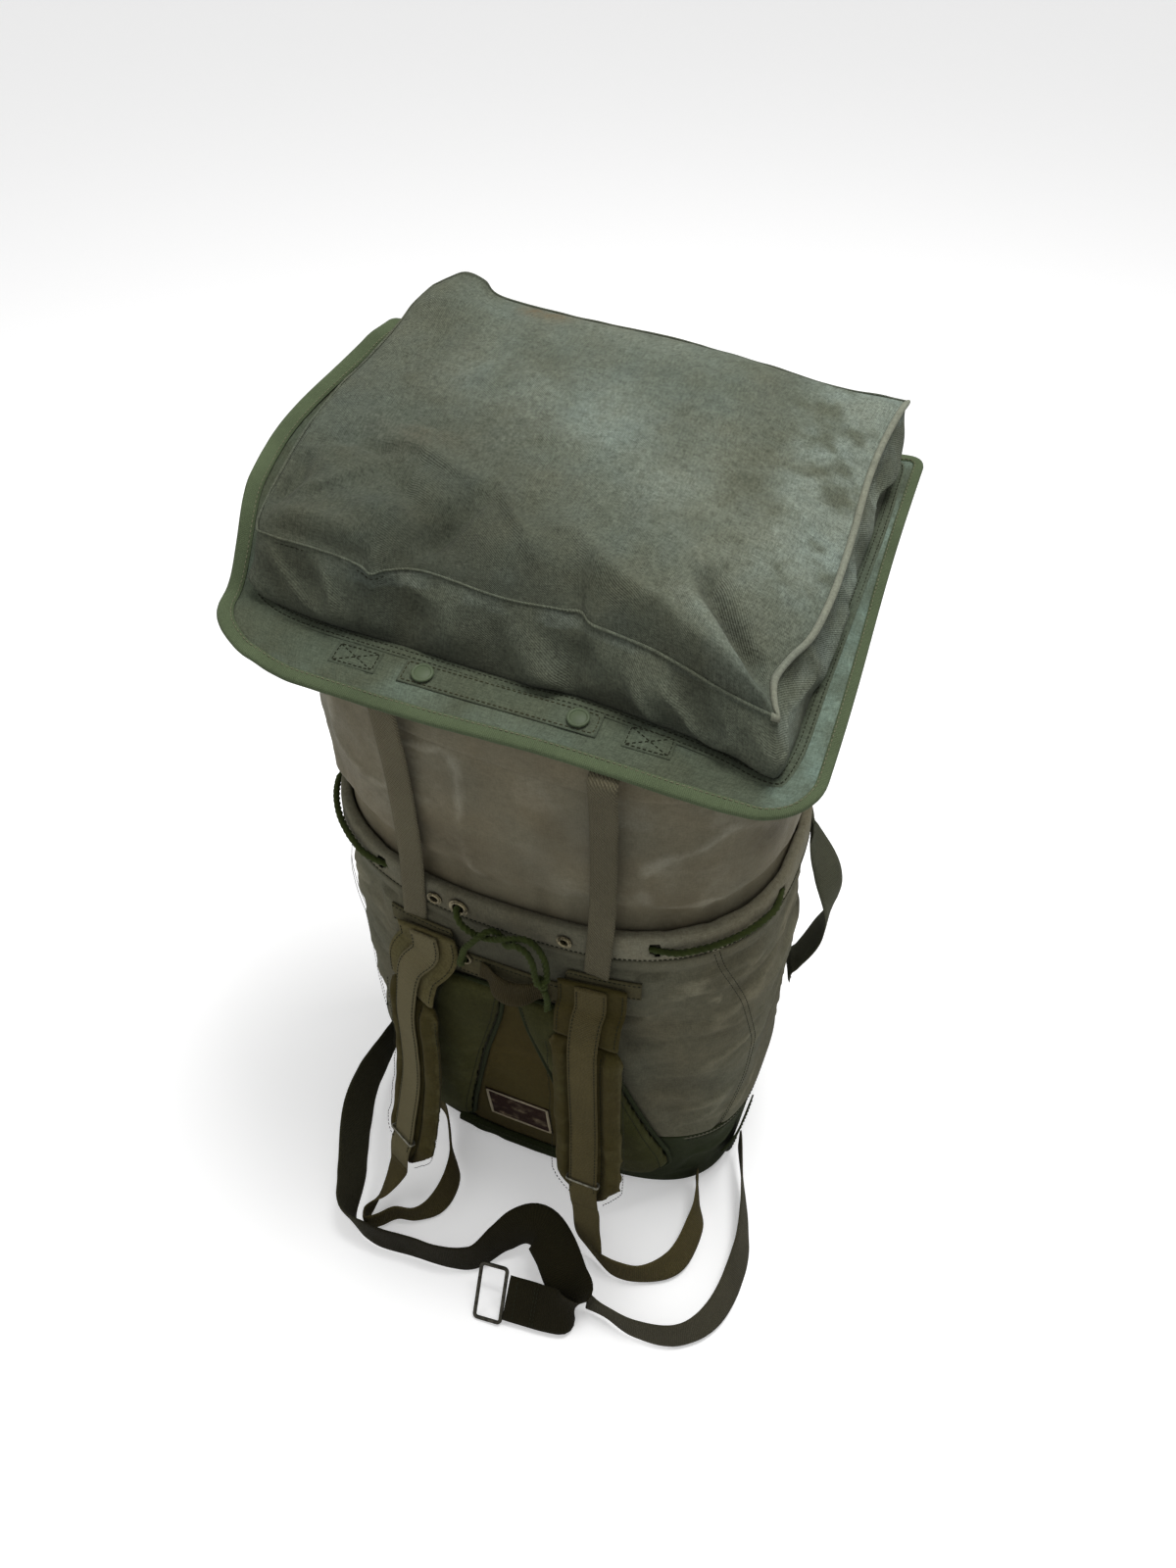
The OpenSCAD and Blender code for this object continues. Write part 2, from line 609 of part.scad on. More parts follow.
module belt_tail_half() {
    root = belt_root(1, 8.1);
    color(web_olive) ribbon([
        concat(root, [0, 0, 1]), [root[0] + 5, root[1] - 14, anchor_z, 0, 0, 1],
        [bx + 36, -by - 2, tail_edge, 0, 0, 1], [bx + 43, -by - 44, tail_edge, 0, 0, 1],
        [bx + 37, -by - 90, tail_edge, 0, 0, 1], [bx + 15, -by - 120, tail_edge, 0, 0, 1],
        [bx - 20, -by - 129, tail_edge, 0, 0, 1], [bx - 51, -by - 125, tail_edge, 0, 0, 1]],
        belt_tail_w, web_t, 4);
}

// Plane of the buckle frame: origin at the fold's bar, local x away from the webbing
frame_out = 24;
module frame_place() {
    translate([33.3, -by - 148.2, 17]) rotate([46, 0, 0]) rotate([0, 0, 187]) children();
}

module rect_wire(length, height, wire) {
    corner = wire * 0.9;
    rail_x = length / 2 - corner - wire / 2;
    rail_y = height / 2 - corner - wire / 2;
    for (s = [-1, 1]) {
        translate([-rail_x, s * (height / 2 - wire / 2), 0]) rotate([0, 90, 0]) cylinder(d = wire, h = 2 * rail_x);
        translate([s * (length / 2 - wire / 2), -rail_y, 0]) rotate([-90, 0, 0]) cylinder(d = wire, h = 2 * rail_y);
        for (v = [-1, 1]) translate([s * rail_x, v * rail_y, 0]) rotate([0, 0, atan2(v, s) - 45])
            rotate_extrude(angle = 90) translate([corner, 0]) circle(d = wire, $fn = 20);
    }
}

module belt_frame() {
    color(steel) frame_place() translate([frame_out / 2, 0, 0]) rect_wire(frame_out + frame_wire, belt_w + 11, frame_wire);
}

// ---- Shoulder straps -----------------------------------------------------
// Stations of each strap below the cross seam: x, distance off the hem face, share of its height,
// half width share. A strap reaches from its low end to its drop below the yoke's top.
function pad_rows(rows, low, drop) = [for (r = rows) [r[0], r[1], mix(low, yoke_h - drop, r[2]), r[3]]];
right_low = 86;
right_rows = pad_rows([[68, 16, 1, 0.86], [69, 17.5, 0.883, 1], [70, 20, 0.686, 1], [72, 24, 0.473, 1],
    [75, 30, 0.287, 1], [76, 34.5, 0.149, 1], [77, 37.5, 0.064, 0.72], [78, 40, 0, 0.36]], right_low, 67);
left_low = 64;
left_rows = pad_rows([[-85, 15, 1, 0.86], [-85, 18, 0.879, 1], [-83, 23, 0.712, 1], [-83, 29, 0.51, 1],
    [-86, 38, 0.283, 1], [-89, 45, 0.141, 1], [-92, 50, 0.061, 0.72], [-94, 54, 0, 0.36]], left_low, 79);
right_turn = [1, 0, 0];
left_turn = [0.906, -0.423, 0];
pad_lift = pad_t / 2 + 1.5;

function pad_thick(share) = pad_t / 2 * (share < 0.5 || (share > 0.8 && share < 1) ? 0.62 : 1);
function pad_stations(rows, turn) = [for (r = rows)
    [r[0], -(fy + r[1]), r[2], turn[0], turn[1], turn[2], r[3] * pad_w / 2, pad_thick(r[3])]];
// Point in front of a pad's centre line, used by its webbing and keeper
function in_front(rows, turn, k, lift) =
    [rows[k][0], -(fy + rows[k][1]), rows[k][2]] + lift * unit([turn[1], -turn[0], 0]);
function right_strap(drop) = [78.5, -(fy + 50), right_low - 6 - drop];
function left_strap(drop) = [-98.5, -(fy + 63.5), left_low - 7 - drop];

strap_x = strap_pitch / 2;
strap_off = yoke_t + 3 * clear + 1.3;
top_t = 4;

module pad_cover(rows, turn) {
    color(web_olive) difference() {
        padded_strap(pad_stations(rows, turn));
        padded_strap([for (k = [0 : len(rows) - 1]) let (s = pad_stations(rows, turn)[k])
            k == 0 || k == len(rows) - 1 ? s + [0, 0, k == 0 ? -3 : 3, 0, 0, 0, 0, 0] : s], 1.4);
    }
}

module pad_foam(rows, turn) {
    color(foam_grey) padded_strap([for (k = [0 : len(rows) - 1]) let (s = pad_stations(rows, turn)[k])
        k == 0 || k == len(rows) - 1 ? s + [0, 0, k == 0 ? -4.5 : 4.5, 0, 0, 0, 0, 0] : s], 2);
}

module pad_cover_right() { pad_cover(right_rows, right_turn); }
module pad_cover_left() { pad_cover(left_rows, left_turn); }
module pad_foam_right() { pad_foam(right_rows, right_turn); }
module pad_foam_left() { pad_foam(left_rows, left_turn); }

function pad_top(rows) = [rows[0][0], -(fy + rows[0][1]), rows[0][2] + 3];
function yoke_turn(side) = let (z = yoke_h - yoke_tab / 2, x = side * strap_x)
    unit(near(x + strap_top_w / 2, z, 0) - near(x - strap_top_w / 2, z, 0));
strap_high = yoke_h - 6;

// Centre line of the doubled strap from the yoke to the cross seam, lifted off by a distance
function top_stations(side, rows, turn, lift) = let (
        first = near(side * strap_x, strap_high, strap_off + top_t / 2), last = pad_top(rows),
        turns = [yoke_turn(side), yoke_turn(side), mix(yoke_turn(side), turn, 0.5), turn],
        places = [first, first + [0, -1.2, -22], mix(first, last, 0.6) + [0.22 * (last[0] - first[0]), 0, 0], last])
    [for (k = [0 : 3]) let (w = unit(turns[k])) concat(places[k] + lift * [w[1], -w[0], 0], w)];

module strap_top(side, rows, turn) {
    color(web_olive) ribbon(top_stations(side, rows, turn, 0), strap_top_w, top_t, 3);
}

module strap_top_right() { strap_top(1, right_rows, right_turn); }
module strap_top_left() { strap_top(-1, left_rows, left_turn); }

module strap_webbing(side, rows, turn, finish) {
    lift = (top_t + web_t) / 2 + 5 * clear;
    color(web_olive) ribbon(concat(
        [for (k = [0 : 2]) top_stations(side, rows, turn, lift)[k]],
        [concat(in_front(rows, turn, 0, pad_lift - 1.2), turn)],
        [for (k = [1 : len(rows) - 2]) concat(in_front(rows, turn, k, pad_lift + (k > 3 ? 3.6 : 0.8)), turn)],
        [concat(finish, turn)]), strap_web_w, web_t, 3);
}

module strap_webbing_right() { strap_webbing(1, right_rows, right_turn, right_strap(0)); }
module strap_webbing_left() { strap_webbing(-1, left_rows, left_turn, left_strap(0)); }

// Wire keeper round the webbing, low on the pad
keeper_l = 31;
module keeper(place, turn, tilt) {
    translate(place) rotate([0, 0, atan2(turn[1], turn[0])]) rotate([tilt, 0, 0])
        rect_wire(strap_web_w + 2 * keeper_wire + 1.4, web_t + 2 * keeper_wire + 1.2, keeper_wire);
}

module wire_keeper_right() {
    color(steel) keeper(in_front(right_rows, right_turn, 5, pad_lift + 3.6), right_turn, -9);
}
module wire_keeper_left() {
    color(steel) keeper(in_front(left_rows, left_turn, 5, pad_lift + 3.6), left_turn, -14);
}

// ---- Grab handle ---------------------------------------------------------
handle_x = 4;
handle_z = yoke_mid_high - 11;

module grab_handle() {
    off = yoke_t + 4 * clear + web_t / 2;
    x0 = handle_x - handle_w / 2;
    color(web_olive) ribbon([
        concat(near(x0, handle_z, off), [0, 0, 1]),
        concat(near(x0 + 7, handle_z - 1, off + 1), [0, 0, 1]),
        concat(near(x0 + 16, handle_z - 6, off + 12), [0, 0.1, 1]),
        concat(near(handle_x, handle_z - 10, off + 17), [0, 0.15, 1]),
        concat(near(handle_x + handle_w / 2 - 16, handle_z - 6, off + 12), [0, 0.1, 1]),
        concat(near(handle_x + handle_w / 2 - 7, handle_z - 1, off + 1), [0, 0, 1]),
        concat(near(handle_x + handle_w / 2, handle_z, off), [0, 0, 1])], handle_web_w, web_t, 3);
}

// ---- Lid -----------------------------------------------------------------
module lid_outline(inset = 0) {
    half = lid_w / 2;
    for (s = [-1, 1]) {
        translate([s * (half - lid_corner), lid_corner]) circle(r = lid_corner - inset);
        translate([s * (half - lid_far_corner), lid_l - lid_far_corner]) circle(r = lid_far_corner - inset);
    }
    translate([inset - half, lid_corner]) square([lid_w - 2 * inset, lid_l - lid_corner - lid_far_corner]);
    translate([lid_corner - half, inset]) square([lid_w - 2 * lid_corner, lid_corner + 1 - inset]);
    translate([lid_far_corner - half, lid_l - lid_far_corner - 1])
        square([lid_w - 2 * lid_far_corner, lid_far_corner + 1 - inset]);
}

module lid_panel() {
    color(lid_green) lid_frame() linear_extrude(lid_t) lid_outline(binding_t);
}

module lid_binding() {
    color(edge_green) lid_frame() difference() {
        translate([0, 0, -binding_t]) linear_extrude(lid_t + 2 * binding_t) lid_outline(0);
        linear_extrude(lid_t) lid_outline(binding_t);
        translate([0, 0, -5]) linear_extrude(lid_t + 10) lid_outline(binding_w);
    }
}

// Pocket plan as a ring of points: rounded corners, near side slightly out of square
half_pocket = pocket_w / 2;
pocket_corners = [[half_pocket, pocket_near_right], [half_pocket, pocket_far],
    [-half_pocket, pocket_far], [-half_pocket, pocket_near_left]];
pocket_steps = 5;
edge_steps = 4;
function corner_arc(k, inset, r) = let (c = pocket_corners[k], sx = sign(c[0]), sy = k == 0 || k == 3 ? -1 : 1,
        o = [c[0] - sx * (inset + r), c[1] - sy * (inset + r)])
    [for (i = [0 : pocket_steps]) let (a = -90 + 90 * k + 90 * i / pocket_steps) o + r * [cos(a), sin(a)]];
// Points between two corners, bowed outward; the zip's side stays straight
function between(a, b, k) = let (d = unit(b - a), out = [d[1], -d[0]])
    k == 2 ? [] : [for (i = [1 : edge_steps - 1])
        mix(a, b, i / edge_steps) + out * pocket_bow * sin(180 * i / edge_steps)];
function pocket_plan(inset, r) = let (arcs = [for (k = [0 : 3]) corner_arc(k, inset, r)])
    [for (k = [0 : 3]) each concat(arcs[k], between(arcs[k][pocket_steps], arcs[(k + 1) % 4][0], k))];
function pocket_ring(inset, h) = [for (p = pocket_plan(inset, max(4, pocket_corner - inset * 0.3))) [p[0], p[1], h]];
pocket_base = lid_t + clear;

// Rings from the seam to the crown, inside (skin) or outside (0)
function pocket_rings(skin) = concat(
    [pocket_ring(skin, pocket_base), pocket_ring(skin, gusset_h - 8 - skin * 0.4)],
    [for (k = [1 : 5]) let (u = k / 5)
        pocket_ring(skin + 3 + 100 * pow(u, 2.2), gusset_h - skin + (pocket_rise) * pow(u, 0.62) - 2)]);
pocket_skin = 2;
zip_h = 22;
zip_start = pocket_near_left + pocket_corner + 10;

module lid_pocket() {
    color(lid_green) lid_frame() difference() {
        loft(pocket_rings(0));
        translate([0, 0, -0.01]) loft(concat([pocket_ring(pocket_skin, pocket_base - 1)], pocket_rings(pocket_skin)));
        translate([-half_pocket - 5, zip_start, zip_h - zip_slot / 2]) cube([12, zip_l, zip_slot]);
    }
}

tape_x = -half_pocket + pocket_skin + clear;

module zip_tape() {
    tape_t = 1;
    tape_w = zip_slot + 6;
    color(boot_green) lid_frame() translate([tape_x, zip_start - 4, zip_h - tape_w / 2])
        cube([tape_t, zip_l + 8, tape_w]);
}

coil_t = 2;
coil_w = 5;

module zip_coil() {
    tooth = 5;
    count = floor((zip_l - 8) / tooth);
    color("#2a2a26") lid_frame() translate([tape_x - coil_t, zip_start + 2, zip_h]) union() {
        translate([0.8, 0, -coil_w / 2]) cube([coil_t - 0.8, count * tooth, coil_w]);
        for (k = [0 : count - 1]) translate([0, k * tooth + 1, -coil_w / 2 + 0.5]) cube([1.2, tooth * 0.55, coil_w - 1]);
    }
}

slider_l = 9;
slider_w = 8.6;
slider_x = tape_x - coil_t - clear;
slider_v = zip_start + 8;

module zip_slider() {
    color(steel) lid_frame() translate([slider_x, slider_v, zip_h]) difference() {
        union() {
            translate([-1.6, 0, -slider_w / 2]) cube([1.6, slider_l, slider_w]);
            for (s = [-1, 1]) translate([-1.6, 0, s * (slider_w / 2 - 0.7) - 0.7]) cube([3, slider_l, 1.4]);
            translate([-4.6, 2, -1.2]) cube([3.2, slider_l - 4, 2.4]);
        }
        translate([-3.1, 1, 0]) rotate([-90, 0, 0]) cylinder(d = 1.6, h = slider_l - 2);
    }
}

pull_l = zip_h - lid_t - 2;

module zip_pull() {
    color(steel) lid_frame() translate([slider_x - 3.1, slider_v, zip_h]) union() {
        translate([0, 0.6, 0]) rotate([-90, 0, 0]) cylinder(d = 1.5, h = slider_l - 1.2);
        for (v = [0.4, slider_l - 1.6]) translate([-0.75, v, -8]) cube([1.5, 1.2, 8]);
        difference() {
            translate([-0.75, 0.4, -pull_l]) cube([1.5, slider_l - 0.8, pull_l - 6]);
            translate([-2, slider_l / 2, -pull_l + 3.6]) rotate([0, 90, 0]) cylinder(d = 3, h = 4);
        }
    }
}

// Snap strip, caps and sockets near the lid's edge
snap_v = 32.5;
strip_t = 1.2;

module snap_strip() {
    color(lid_green) lid_frame() translate([0, 0, lid_t + clear]) difference() {
        translate([-snap_strip_l / 2, snap_v - snap_strip_w / 2, 0]) cube([snap_strip_l, snap_strip_w, strip_t]);
        for (s = [-1, 1]) translate([s * snap_pitch / 2, snap_v, -1]) cylinder(d = 4, h = 4);
    }
}

module snap_caps() {
    cap_h = 2.4;
    color(edge_green) lid_frame() for (s = [-1, 1])
        translate([s * snap_pitch / 2, snap_v, lid_t + strip_t + 2 * clear]) rotate_extrude() difference() {
            union() {
                square([snap_d / 2 - 0.8, cap_h - 0.7]);
                translate([snap_d / 2 - 1.2, 1.2]) circle(r = 1.2, $fn = 24);
                intersection() {
                    translate([0, cap_h - 20]) circle(r = 20, $fn = 96);
                    square([snap_d / 2 - 1, cap_h]);
                }
            }
            translate([-20, -5]) square([20, 20]);
        }
}

module snap_sockets() {
    color(steel) lid_frame() for (s = [-1, 1])
        translate([s * snap_pitch / 2, snap_v, -clear]) rotate([180, 0, 0]) difference() {
            union() {
                cylinder(d = 12, h = 0.8);
                cylinder(d = 8, h = 2.1);
            }
            translate([0, 0, 0.9]) cylinder(d = 4.2, h = 3);
        }
}

module lid_anchor_patches() {
    color(lid_green) lid_frame() for (s = [-1, 1])
        translate([s * anchor_pitch / 2 - 16, 23, lid_t + clear]) cube([32, 18, 1]);
}

// Webbing sewn under the lid above each lid strap
module lid_web_ends() {
    color(web_olive) lid_frame() for (s = [-1, 1])
        translate([s * lid_web_pitch / 2 + lid_web_slant - lid_web_w / 2, 12, -web_t - clear])
            cube([lid_web_w, 32, web_t]);
}

// ---- Closing straps on the far side --------------------------------------
tail_pitch = 170;
tail_l = 170;
tail_v = lid_l - 14;

module tail_anchors() {
    color(web_olive) lid_frame() for (s = [-1, 1])
        translate([s * tail_pitch / 2 - lid_web_w / 2, tail_v - 29, -web_t - clear])
            cube([lid_web_w, 30, web_t]);
}

module closing_tail(side) {
    p = lid_point([side * tail_pitch / 2, tail_v, -web_t - clear - 1.25]);
    color(web_olive) ribbon([
        concat(p, [1, 0, 0]), concat(p + [0, 1.5, -20], [1, 0, 0]),
        concat(p + [0, 2, -tail_l / 2], [1, 0, 0]), concat(p + [0, 1, -tail_l], [1, 0, 0])],
        lid_web_w, web_t, 3);
}

module closing_tail_left() { closing_tail(-1); }
module closing_tail_right() { closing_tail(1); }

buckle_z = 332;
tab_l = 46;
buckle_h = 22;

module buckle_tabs() {
    half = lid_web_w / 2;
    function far(x, z, off) = [x, face_y(x, z) + off, z];
    function tab(x, z) = concat(far(x, z, 1.8), unit(far(x - half, z, 0) - far(x + half, z, 0)));
    color(web_olive) for (s = [-1, 1]) {
        x = s * tail_pitch / 2;
        ribbon([tab(x, buckle_z - tab_l), tab(x, buckle_z - tab_l / 2), tab(x, buckle_z + 6)], lid_web_w, web_t, 3);
    }
}

module closing_buckle(side) {
    x = side * tail_pitch / 2;
    w = lid_web_w + 10;
    bar = 3;
    y = face_y(x, buckle_z) + web_t + 1.8 + bar / 2 + 3 * clear;
    color(steel) translate([x, y, buckle_z]) rotate([90, 0, 0]) union() {
        for (z = [0, -buckle_h / 2, -buckle_h]) translate([-w / 2 + bar / 2, z, 0]) rotate([0, 90, 0])
            cylinder(d = z == 0 ? bar : bar * 0.8, h = w - bar);
        for (s = [-1, 1]) translate([s * (w / 2 - bar / 2), -buckle_h, 0]) rotate([-90, 0, 0])
            cylinder(d = bar, h = buckle_h);
        for (s = [-1, 1]) for (z = [0, -buckle_h]) translate([s * (w / 2 - bar / 2), z, 0]) sphere(d = bar, $fn = 24);
    }
}

module closing_buckle_left() { closing_buckle(-1); }
module closing_buckle_right() { closing_buckle(1); }

base_panel();
base_boot();
lower_bag();
hem_tunnel();
extension_collar();
collar_hem();
small_eyelets();
cord_grommet();
yoke_eyelet();
drawcord();
drawcord_ends();
cord_knot();
back_panel();
label_patch();
bottom_binding();
yoke_band();
wing_cover_left();
wing_cover_right();
wing_foam_left();
wing_foam_right();
side_loop_left();
side_loop_right();
lid_strap_left();
lid_strap_right();
lower_webbing_left();
lower_webbing_right();
belt_anchors();
buckle_tabs();
lid_panel();
lid_binding();
lid_pocket();
lid_anchor_patches();
lid_web_ends();
snap_strip();
snap_caps();
snap_sockets();
tail_anchors();
zip_tape();
zip_coil();
zip_slider();
zip_pull();
closing_tail_left();
closing_tail_right();
closing_buckle_left();
closing_buckle_right();
strap_top_left();
strap_top_right();
pad_cover_left();
pad_cover_right();
pad_foam_left();
pad_foam_right();
strap_webbing_left();
strap_webbing_right();
wire_keeper_left();
wire_keeper_right();
grab_handle();
belt_buckle_half();
belt_tail_half();
belt_frame();
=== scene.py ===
"""Looks of the canvas mountain rucksack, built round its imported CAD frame.

Lengths are in millimetres until a mesh is made; Blender's own are in metres. A look is a material with the
record's slot that it goes with. A station is a point on a webbing with the direction of its width.
"""
import math

import bpy
import numpy as np
from mathutils import Matrix, Vector
from mathutils.bvhtree import BVHTree
from mathutils.kdtree import KDTree


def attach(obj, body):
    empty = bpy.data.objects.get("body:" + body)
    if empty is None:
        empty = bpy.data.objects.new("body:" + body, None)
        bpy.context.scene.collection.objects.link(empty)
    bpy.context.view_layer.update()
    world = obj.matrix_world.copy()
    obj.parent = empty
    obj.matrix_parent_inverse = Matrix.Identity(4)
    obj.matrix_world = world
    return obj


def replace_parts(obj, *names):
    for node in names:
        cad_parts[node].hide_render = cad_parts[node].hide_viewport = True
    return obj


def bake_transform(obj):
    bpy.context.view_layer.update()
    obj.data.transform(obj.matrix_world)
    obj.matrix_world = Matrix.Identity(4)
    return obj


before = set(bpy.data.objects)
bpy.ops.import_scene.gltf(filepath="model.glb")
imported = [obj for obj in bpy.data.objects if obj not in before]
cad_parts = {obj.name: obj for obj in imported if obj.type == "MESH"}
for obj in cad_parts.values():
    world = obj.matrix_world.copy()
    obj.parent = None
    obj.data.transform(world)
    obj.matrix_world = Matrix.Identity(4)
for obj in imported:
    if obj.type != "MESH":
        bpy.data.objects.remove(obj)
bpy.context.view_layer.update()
MM = 0.001
TAU = 2 * math.pi

# ---- Sizes shared with the solids ----------------------------------------
BASE_W, BASE_D, HEM_W, HEM_D, HEM_H, HEM_DIP = 338.0, 207.0, 370.0, 253.0, 404.0, 20.0
TOP_W, TOP_D, FULLNESS, TUNNEL_H, CORD_D = 376.0, 262.0, 5.0, 26.0, 6.0
LID_W, LID_L, LID_H, LID_LAP, LID_CORNER, LID_FAR_CORNER = 420.0, 344.0, 566.0, 8.6, 38.0, 12.0
LID_SLOPE, LID_ROLL, LID_YAW = (math.radians(a) for a in (10.3, 4.3, 3.1))
WEB_T = 2.2
FY, BX, BY = HEM_D / 2, BASE_W / 2, BASE_D / 2
TUNNEL_Z = HEM_H - TUNNEL_H
YOKE_H, YOKE_TAB, YOKE_STEP = 341.0, 19.0, 46.0
WING_LOW, WING_TOP, YOKE_MID_LOW, YOKE_MID_HIGH = 38.0, 292.0, 294.0, 320.0
SIDES = ((-1, "left"), (1, "right"))
X, Y, Z = [1, 0, 0], [0, 1, 0], [0, 0, 1]


# ---- Number helpers ------------------------------------------------------
def smooth(t):
    c = np.clip(t, 0.0, 1.0)
    return c * c * (3 - 2 * c)


def mix(a, b, t):
    return a + (b - a) * t


def bump(t, centre, width):
    """A smooth hill of height 1 at centre, gone at a distance of width."""
    return smooth(1 - np.abs(np.asarray(t) - centre) / width)


def unit(v):
    v = np.asarray(v, float)
    return v / np.maximum(np.linalg.norm(v, axis=-1, keepdims=True), 1e-12)


def xyz(a, b=0.0, c=0.0):
    """Points from three coordinates that are arrays or numbers."""
    return np.stack(np.broadcast_arrays(*(np.asarray(v, float) for v in (a, b, c))), -1)


def lengths(points):
    """Distance along a line at each of its points."""
    return np.concatenate([[0], np.cumsum(np.linalg.norm(np.diff(points, axis=0), axis=1))])


def follow(rows, known_at, places):
    """Each column of rows read off at other places."""
    return np.stack([np.interp(places, known_at, column) for column in rows.T], 1)


def even(points, step=1.0, count=0):
    """The same line with points a step apart, or a count of them."""
    p = np.asarray(points, float)
    s = lengths(p[:, :3])
    return follow(p, s, np.linspace(0, s[-1], count or max(2, int(round(s[-1] / step)) + 1)))


def closed(rows):
    return np.concatenate([rows, rows[:1]])


def noise(p, seed=0):
    """Smooth value noise in -1..1 at points p."""
    p = np.asarray(p, float)
    cell = np.floor(p).astype(np.int64)
    f = p - cell
    f = f * f * f * (f * (6 * f - 15) + 10)
    total = 0.0
    for corner in np.ndindex(2, 2, 2):
        x, y, z = np.moveaxis(cell + corner, -1, 0)
        h = (x * 374761393 + y * 668265263 + z * 2147483647 + seed * 1274126177) & 0xFFFFFFFF
        h = ((h ^ (h >> 13)) * 1274126177) & 0xFFFFFFFF
        h = ((h ^ (h >> 16)) * 2246822519) & 0xFFFFFFFF
        value = ((h ^ (h >> 15)) & 0xFFFFFF) / float(0xFFFFFF) * 2 - 1
        total = total + value * np.prod(np.where(corner, f, 1 - f), axis=-1)
    return total


def fbm(p, seed=0, octaves=4):
    return sum(0.5 ** k * noise(np.asarray(p) * 2.03 ** k, seed + k) for k in range(octaves))


def crease(p, seed=0, sharp=3.0):
    """Sharp ridges between soft hollows, 0..1."""
    return (1 - np.abs(noise(p, seed))) ** sharp


def spline(points, steps):
    """Catmull-Rom curve through rows of points."""
    p = np.asarray(points, float)
    out = []
    for i in range(len(p) - 1):
        a, b, c, d = p[max(0, i - 1)], p[i], p[i + 1], p[min(len(p) - 1, i + 2)]
        for t in np.arange(steps) / steps:
            out.append(0.5 * (2 * b + (c - a) * t + (2 * a - 5 * b + 4 * c - d) * t * t
                              + (3 * b - a - 3 * c + d) * t ** 3))
    return np.array(out + [p[-1]])


# ---- Bag form, as in the solids ------------------------------------------
def rise(z):
    return np.clip(z / HEM_H, 0, 1)


def reach(z, base, hem, top, full):
    up = smooth((z - HEM_H) / (LID_H - HEM_H))
    return mix(mix(base, hem, 1 - (1 - rise(z)) ** 3), top, up) + full * np.sin(math.pi * rise(z))


def half_w(z):
    return reach(z, BX, HEM_W / 2, TOP_W / 2, FULLNESS)


def half_d(z):
    return reach(z, BY, FY, TOP_D / 2, FULLNESS / 2)


def power(z):
    return mix(3.3, 2.8, rise(z))


def sag(z, t):
    down = np.where(z < HEM_H, smooth((z - 290) / (TUNNEL_Z - 290)), 1 - smooth((z - HEM_H) / 70))
    return HEM_DIP * np.maximum(0, -np.sin(t)) ** 3 * down


def section(z, inset, t):
    """Bag outline at height z, before the sag, t in radians from +X."""
    c, s, e = np.cos(t), np.sin(t), 2 / power(z)
    return (half_w(z) - inset) * np.sign(c) * np.abs(c) ** e, (half_d(z) - inset) * np.sign(s) * np.abs(s) ** e


def bag(z, inset, t):
    z = z + 0 * np.asarray(t, float)
    x, y = section(z, inset, t)
    return np.stack([x, y, z - sag(z, t)], -1)


def wall(at, z, along, out):
    """How far out the wall is, at a place along its other side."""
    return out(z) * (1 - np.minimum(0.999, np.abs(at) / along(z)) ** power(z)) ** (1 / power(z))


def face_y(x, z):
    return wall(x, np.asarray(z, float), half_w, half_d)


def near(x, z, off):
    """Points on the near face, a distance off it."""
    x, z = np.broadcast_arrays(np.asarray(x, float), np.asarray(z, float))
    return np.stack([x, -face_y(x, z) - off, z], -1)


def face_out(points):
    """Outward directions at points on the near face."""
    x, z, e = points[..., 0], points[..., 2], 0.5
    return unit(np.cross(near(x + e, z, 0) - near(x - e, z, 0), near(x, z + e, 0) - near(x, z - e, 0)))


def side_wall(s, y, z, off):
    return np.array([s * (wall(y, z, half_d, half_w) + off), y, z])


def even_angles(count, z=260.0):
    """Angles that are even along the outline, since equal angles bunch at the corners."""
    t = np.linspace(0, TAU, 2881)
    s = lengths(bag(z, 0.0, t))
    return np.interp(np.linspace(0, s[-1], count + 1)[:-1], s, t)


# ---- Lid frame -----------------------------------------------------------
def turn(axis, a):
    return np.array(Matrix.Rotation(a, 3, axis))


LID_TURN = turn("Z", LID_YAW) @ turn("Y", LID_ROLL) @ turn("X", LID_SLOPE)
LID_AT = np.array([0.0, -(TOP_D / 2 + LID_LAP), LID_H])
LID_X, LID_UP = LID_TURN[:, 0], LID_TURN[:, 2]


def lid_dir(v):
    return np.asarray(v, float) @ LID_TURN.T


def lid(p):
    """Lid coordinates (x, v from the near edge, h above the underside) to the row frame."""
    return lid_dir(p) + LID_AT


def lid_plane_z(x, y):
    return LID_H - (WEB_T + 0.6 + LID_UP[0] * x + LID_UP[1] * (y - LID_AT[1])) / LID_UP[2]


# ---- Mesh helpers --------------------------------------------------------
def make(name, verts, faces, uvs=None, body="bag", look=None, smooth_faces=True):
    """A mesh piece from millimetre points; uvs is one (u, v) in metres per face corner."""
    mesh = bpy.data.meshes.new(name)
    mesh.from_pydata((np.asarray(verts, float) * MM).tolist(), [], [tuple(int(i) for i in f) for f in faces])
    if uvs is not None:
        mesh.uv_layers.new(name="UVMap").data.foreach_set("uv", np.asarray(uvs, np.float32).ravel())
    mesh.polygons.foreach_set("use_smooth", [smooth_faces] * len(mesh.polygons))
    mesh.validate()
    obj = bpy.data.objects.new(name, mesh)
    bpy.context.scene.collection.objects.link(obj)
    material, slot = look
    mesh.materials.append(material)
    if body:
        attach(obj, body)
    return obj


def read(items, key, width=1):
    """A property of all of a mesh's vertices, as rows or as a plain list."""
    values = np.zeros(len(items) * width)
    items.foreach_get(key, values)
    return values.reshape(-1, width) if width > 1 else values


def attribute(obj, name, values):
    a = obj.data.attributes.new(name, "FLOAT", "POINT")
    a.data.foreach_set("value", np.asarray(values, np.float32).ravel())


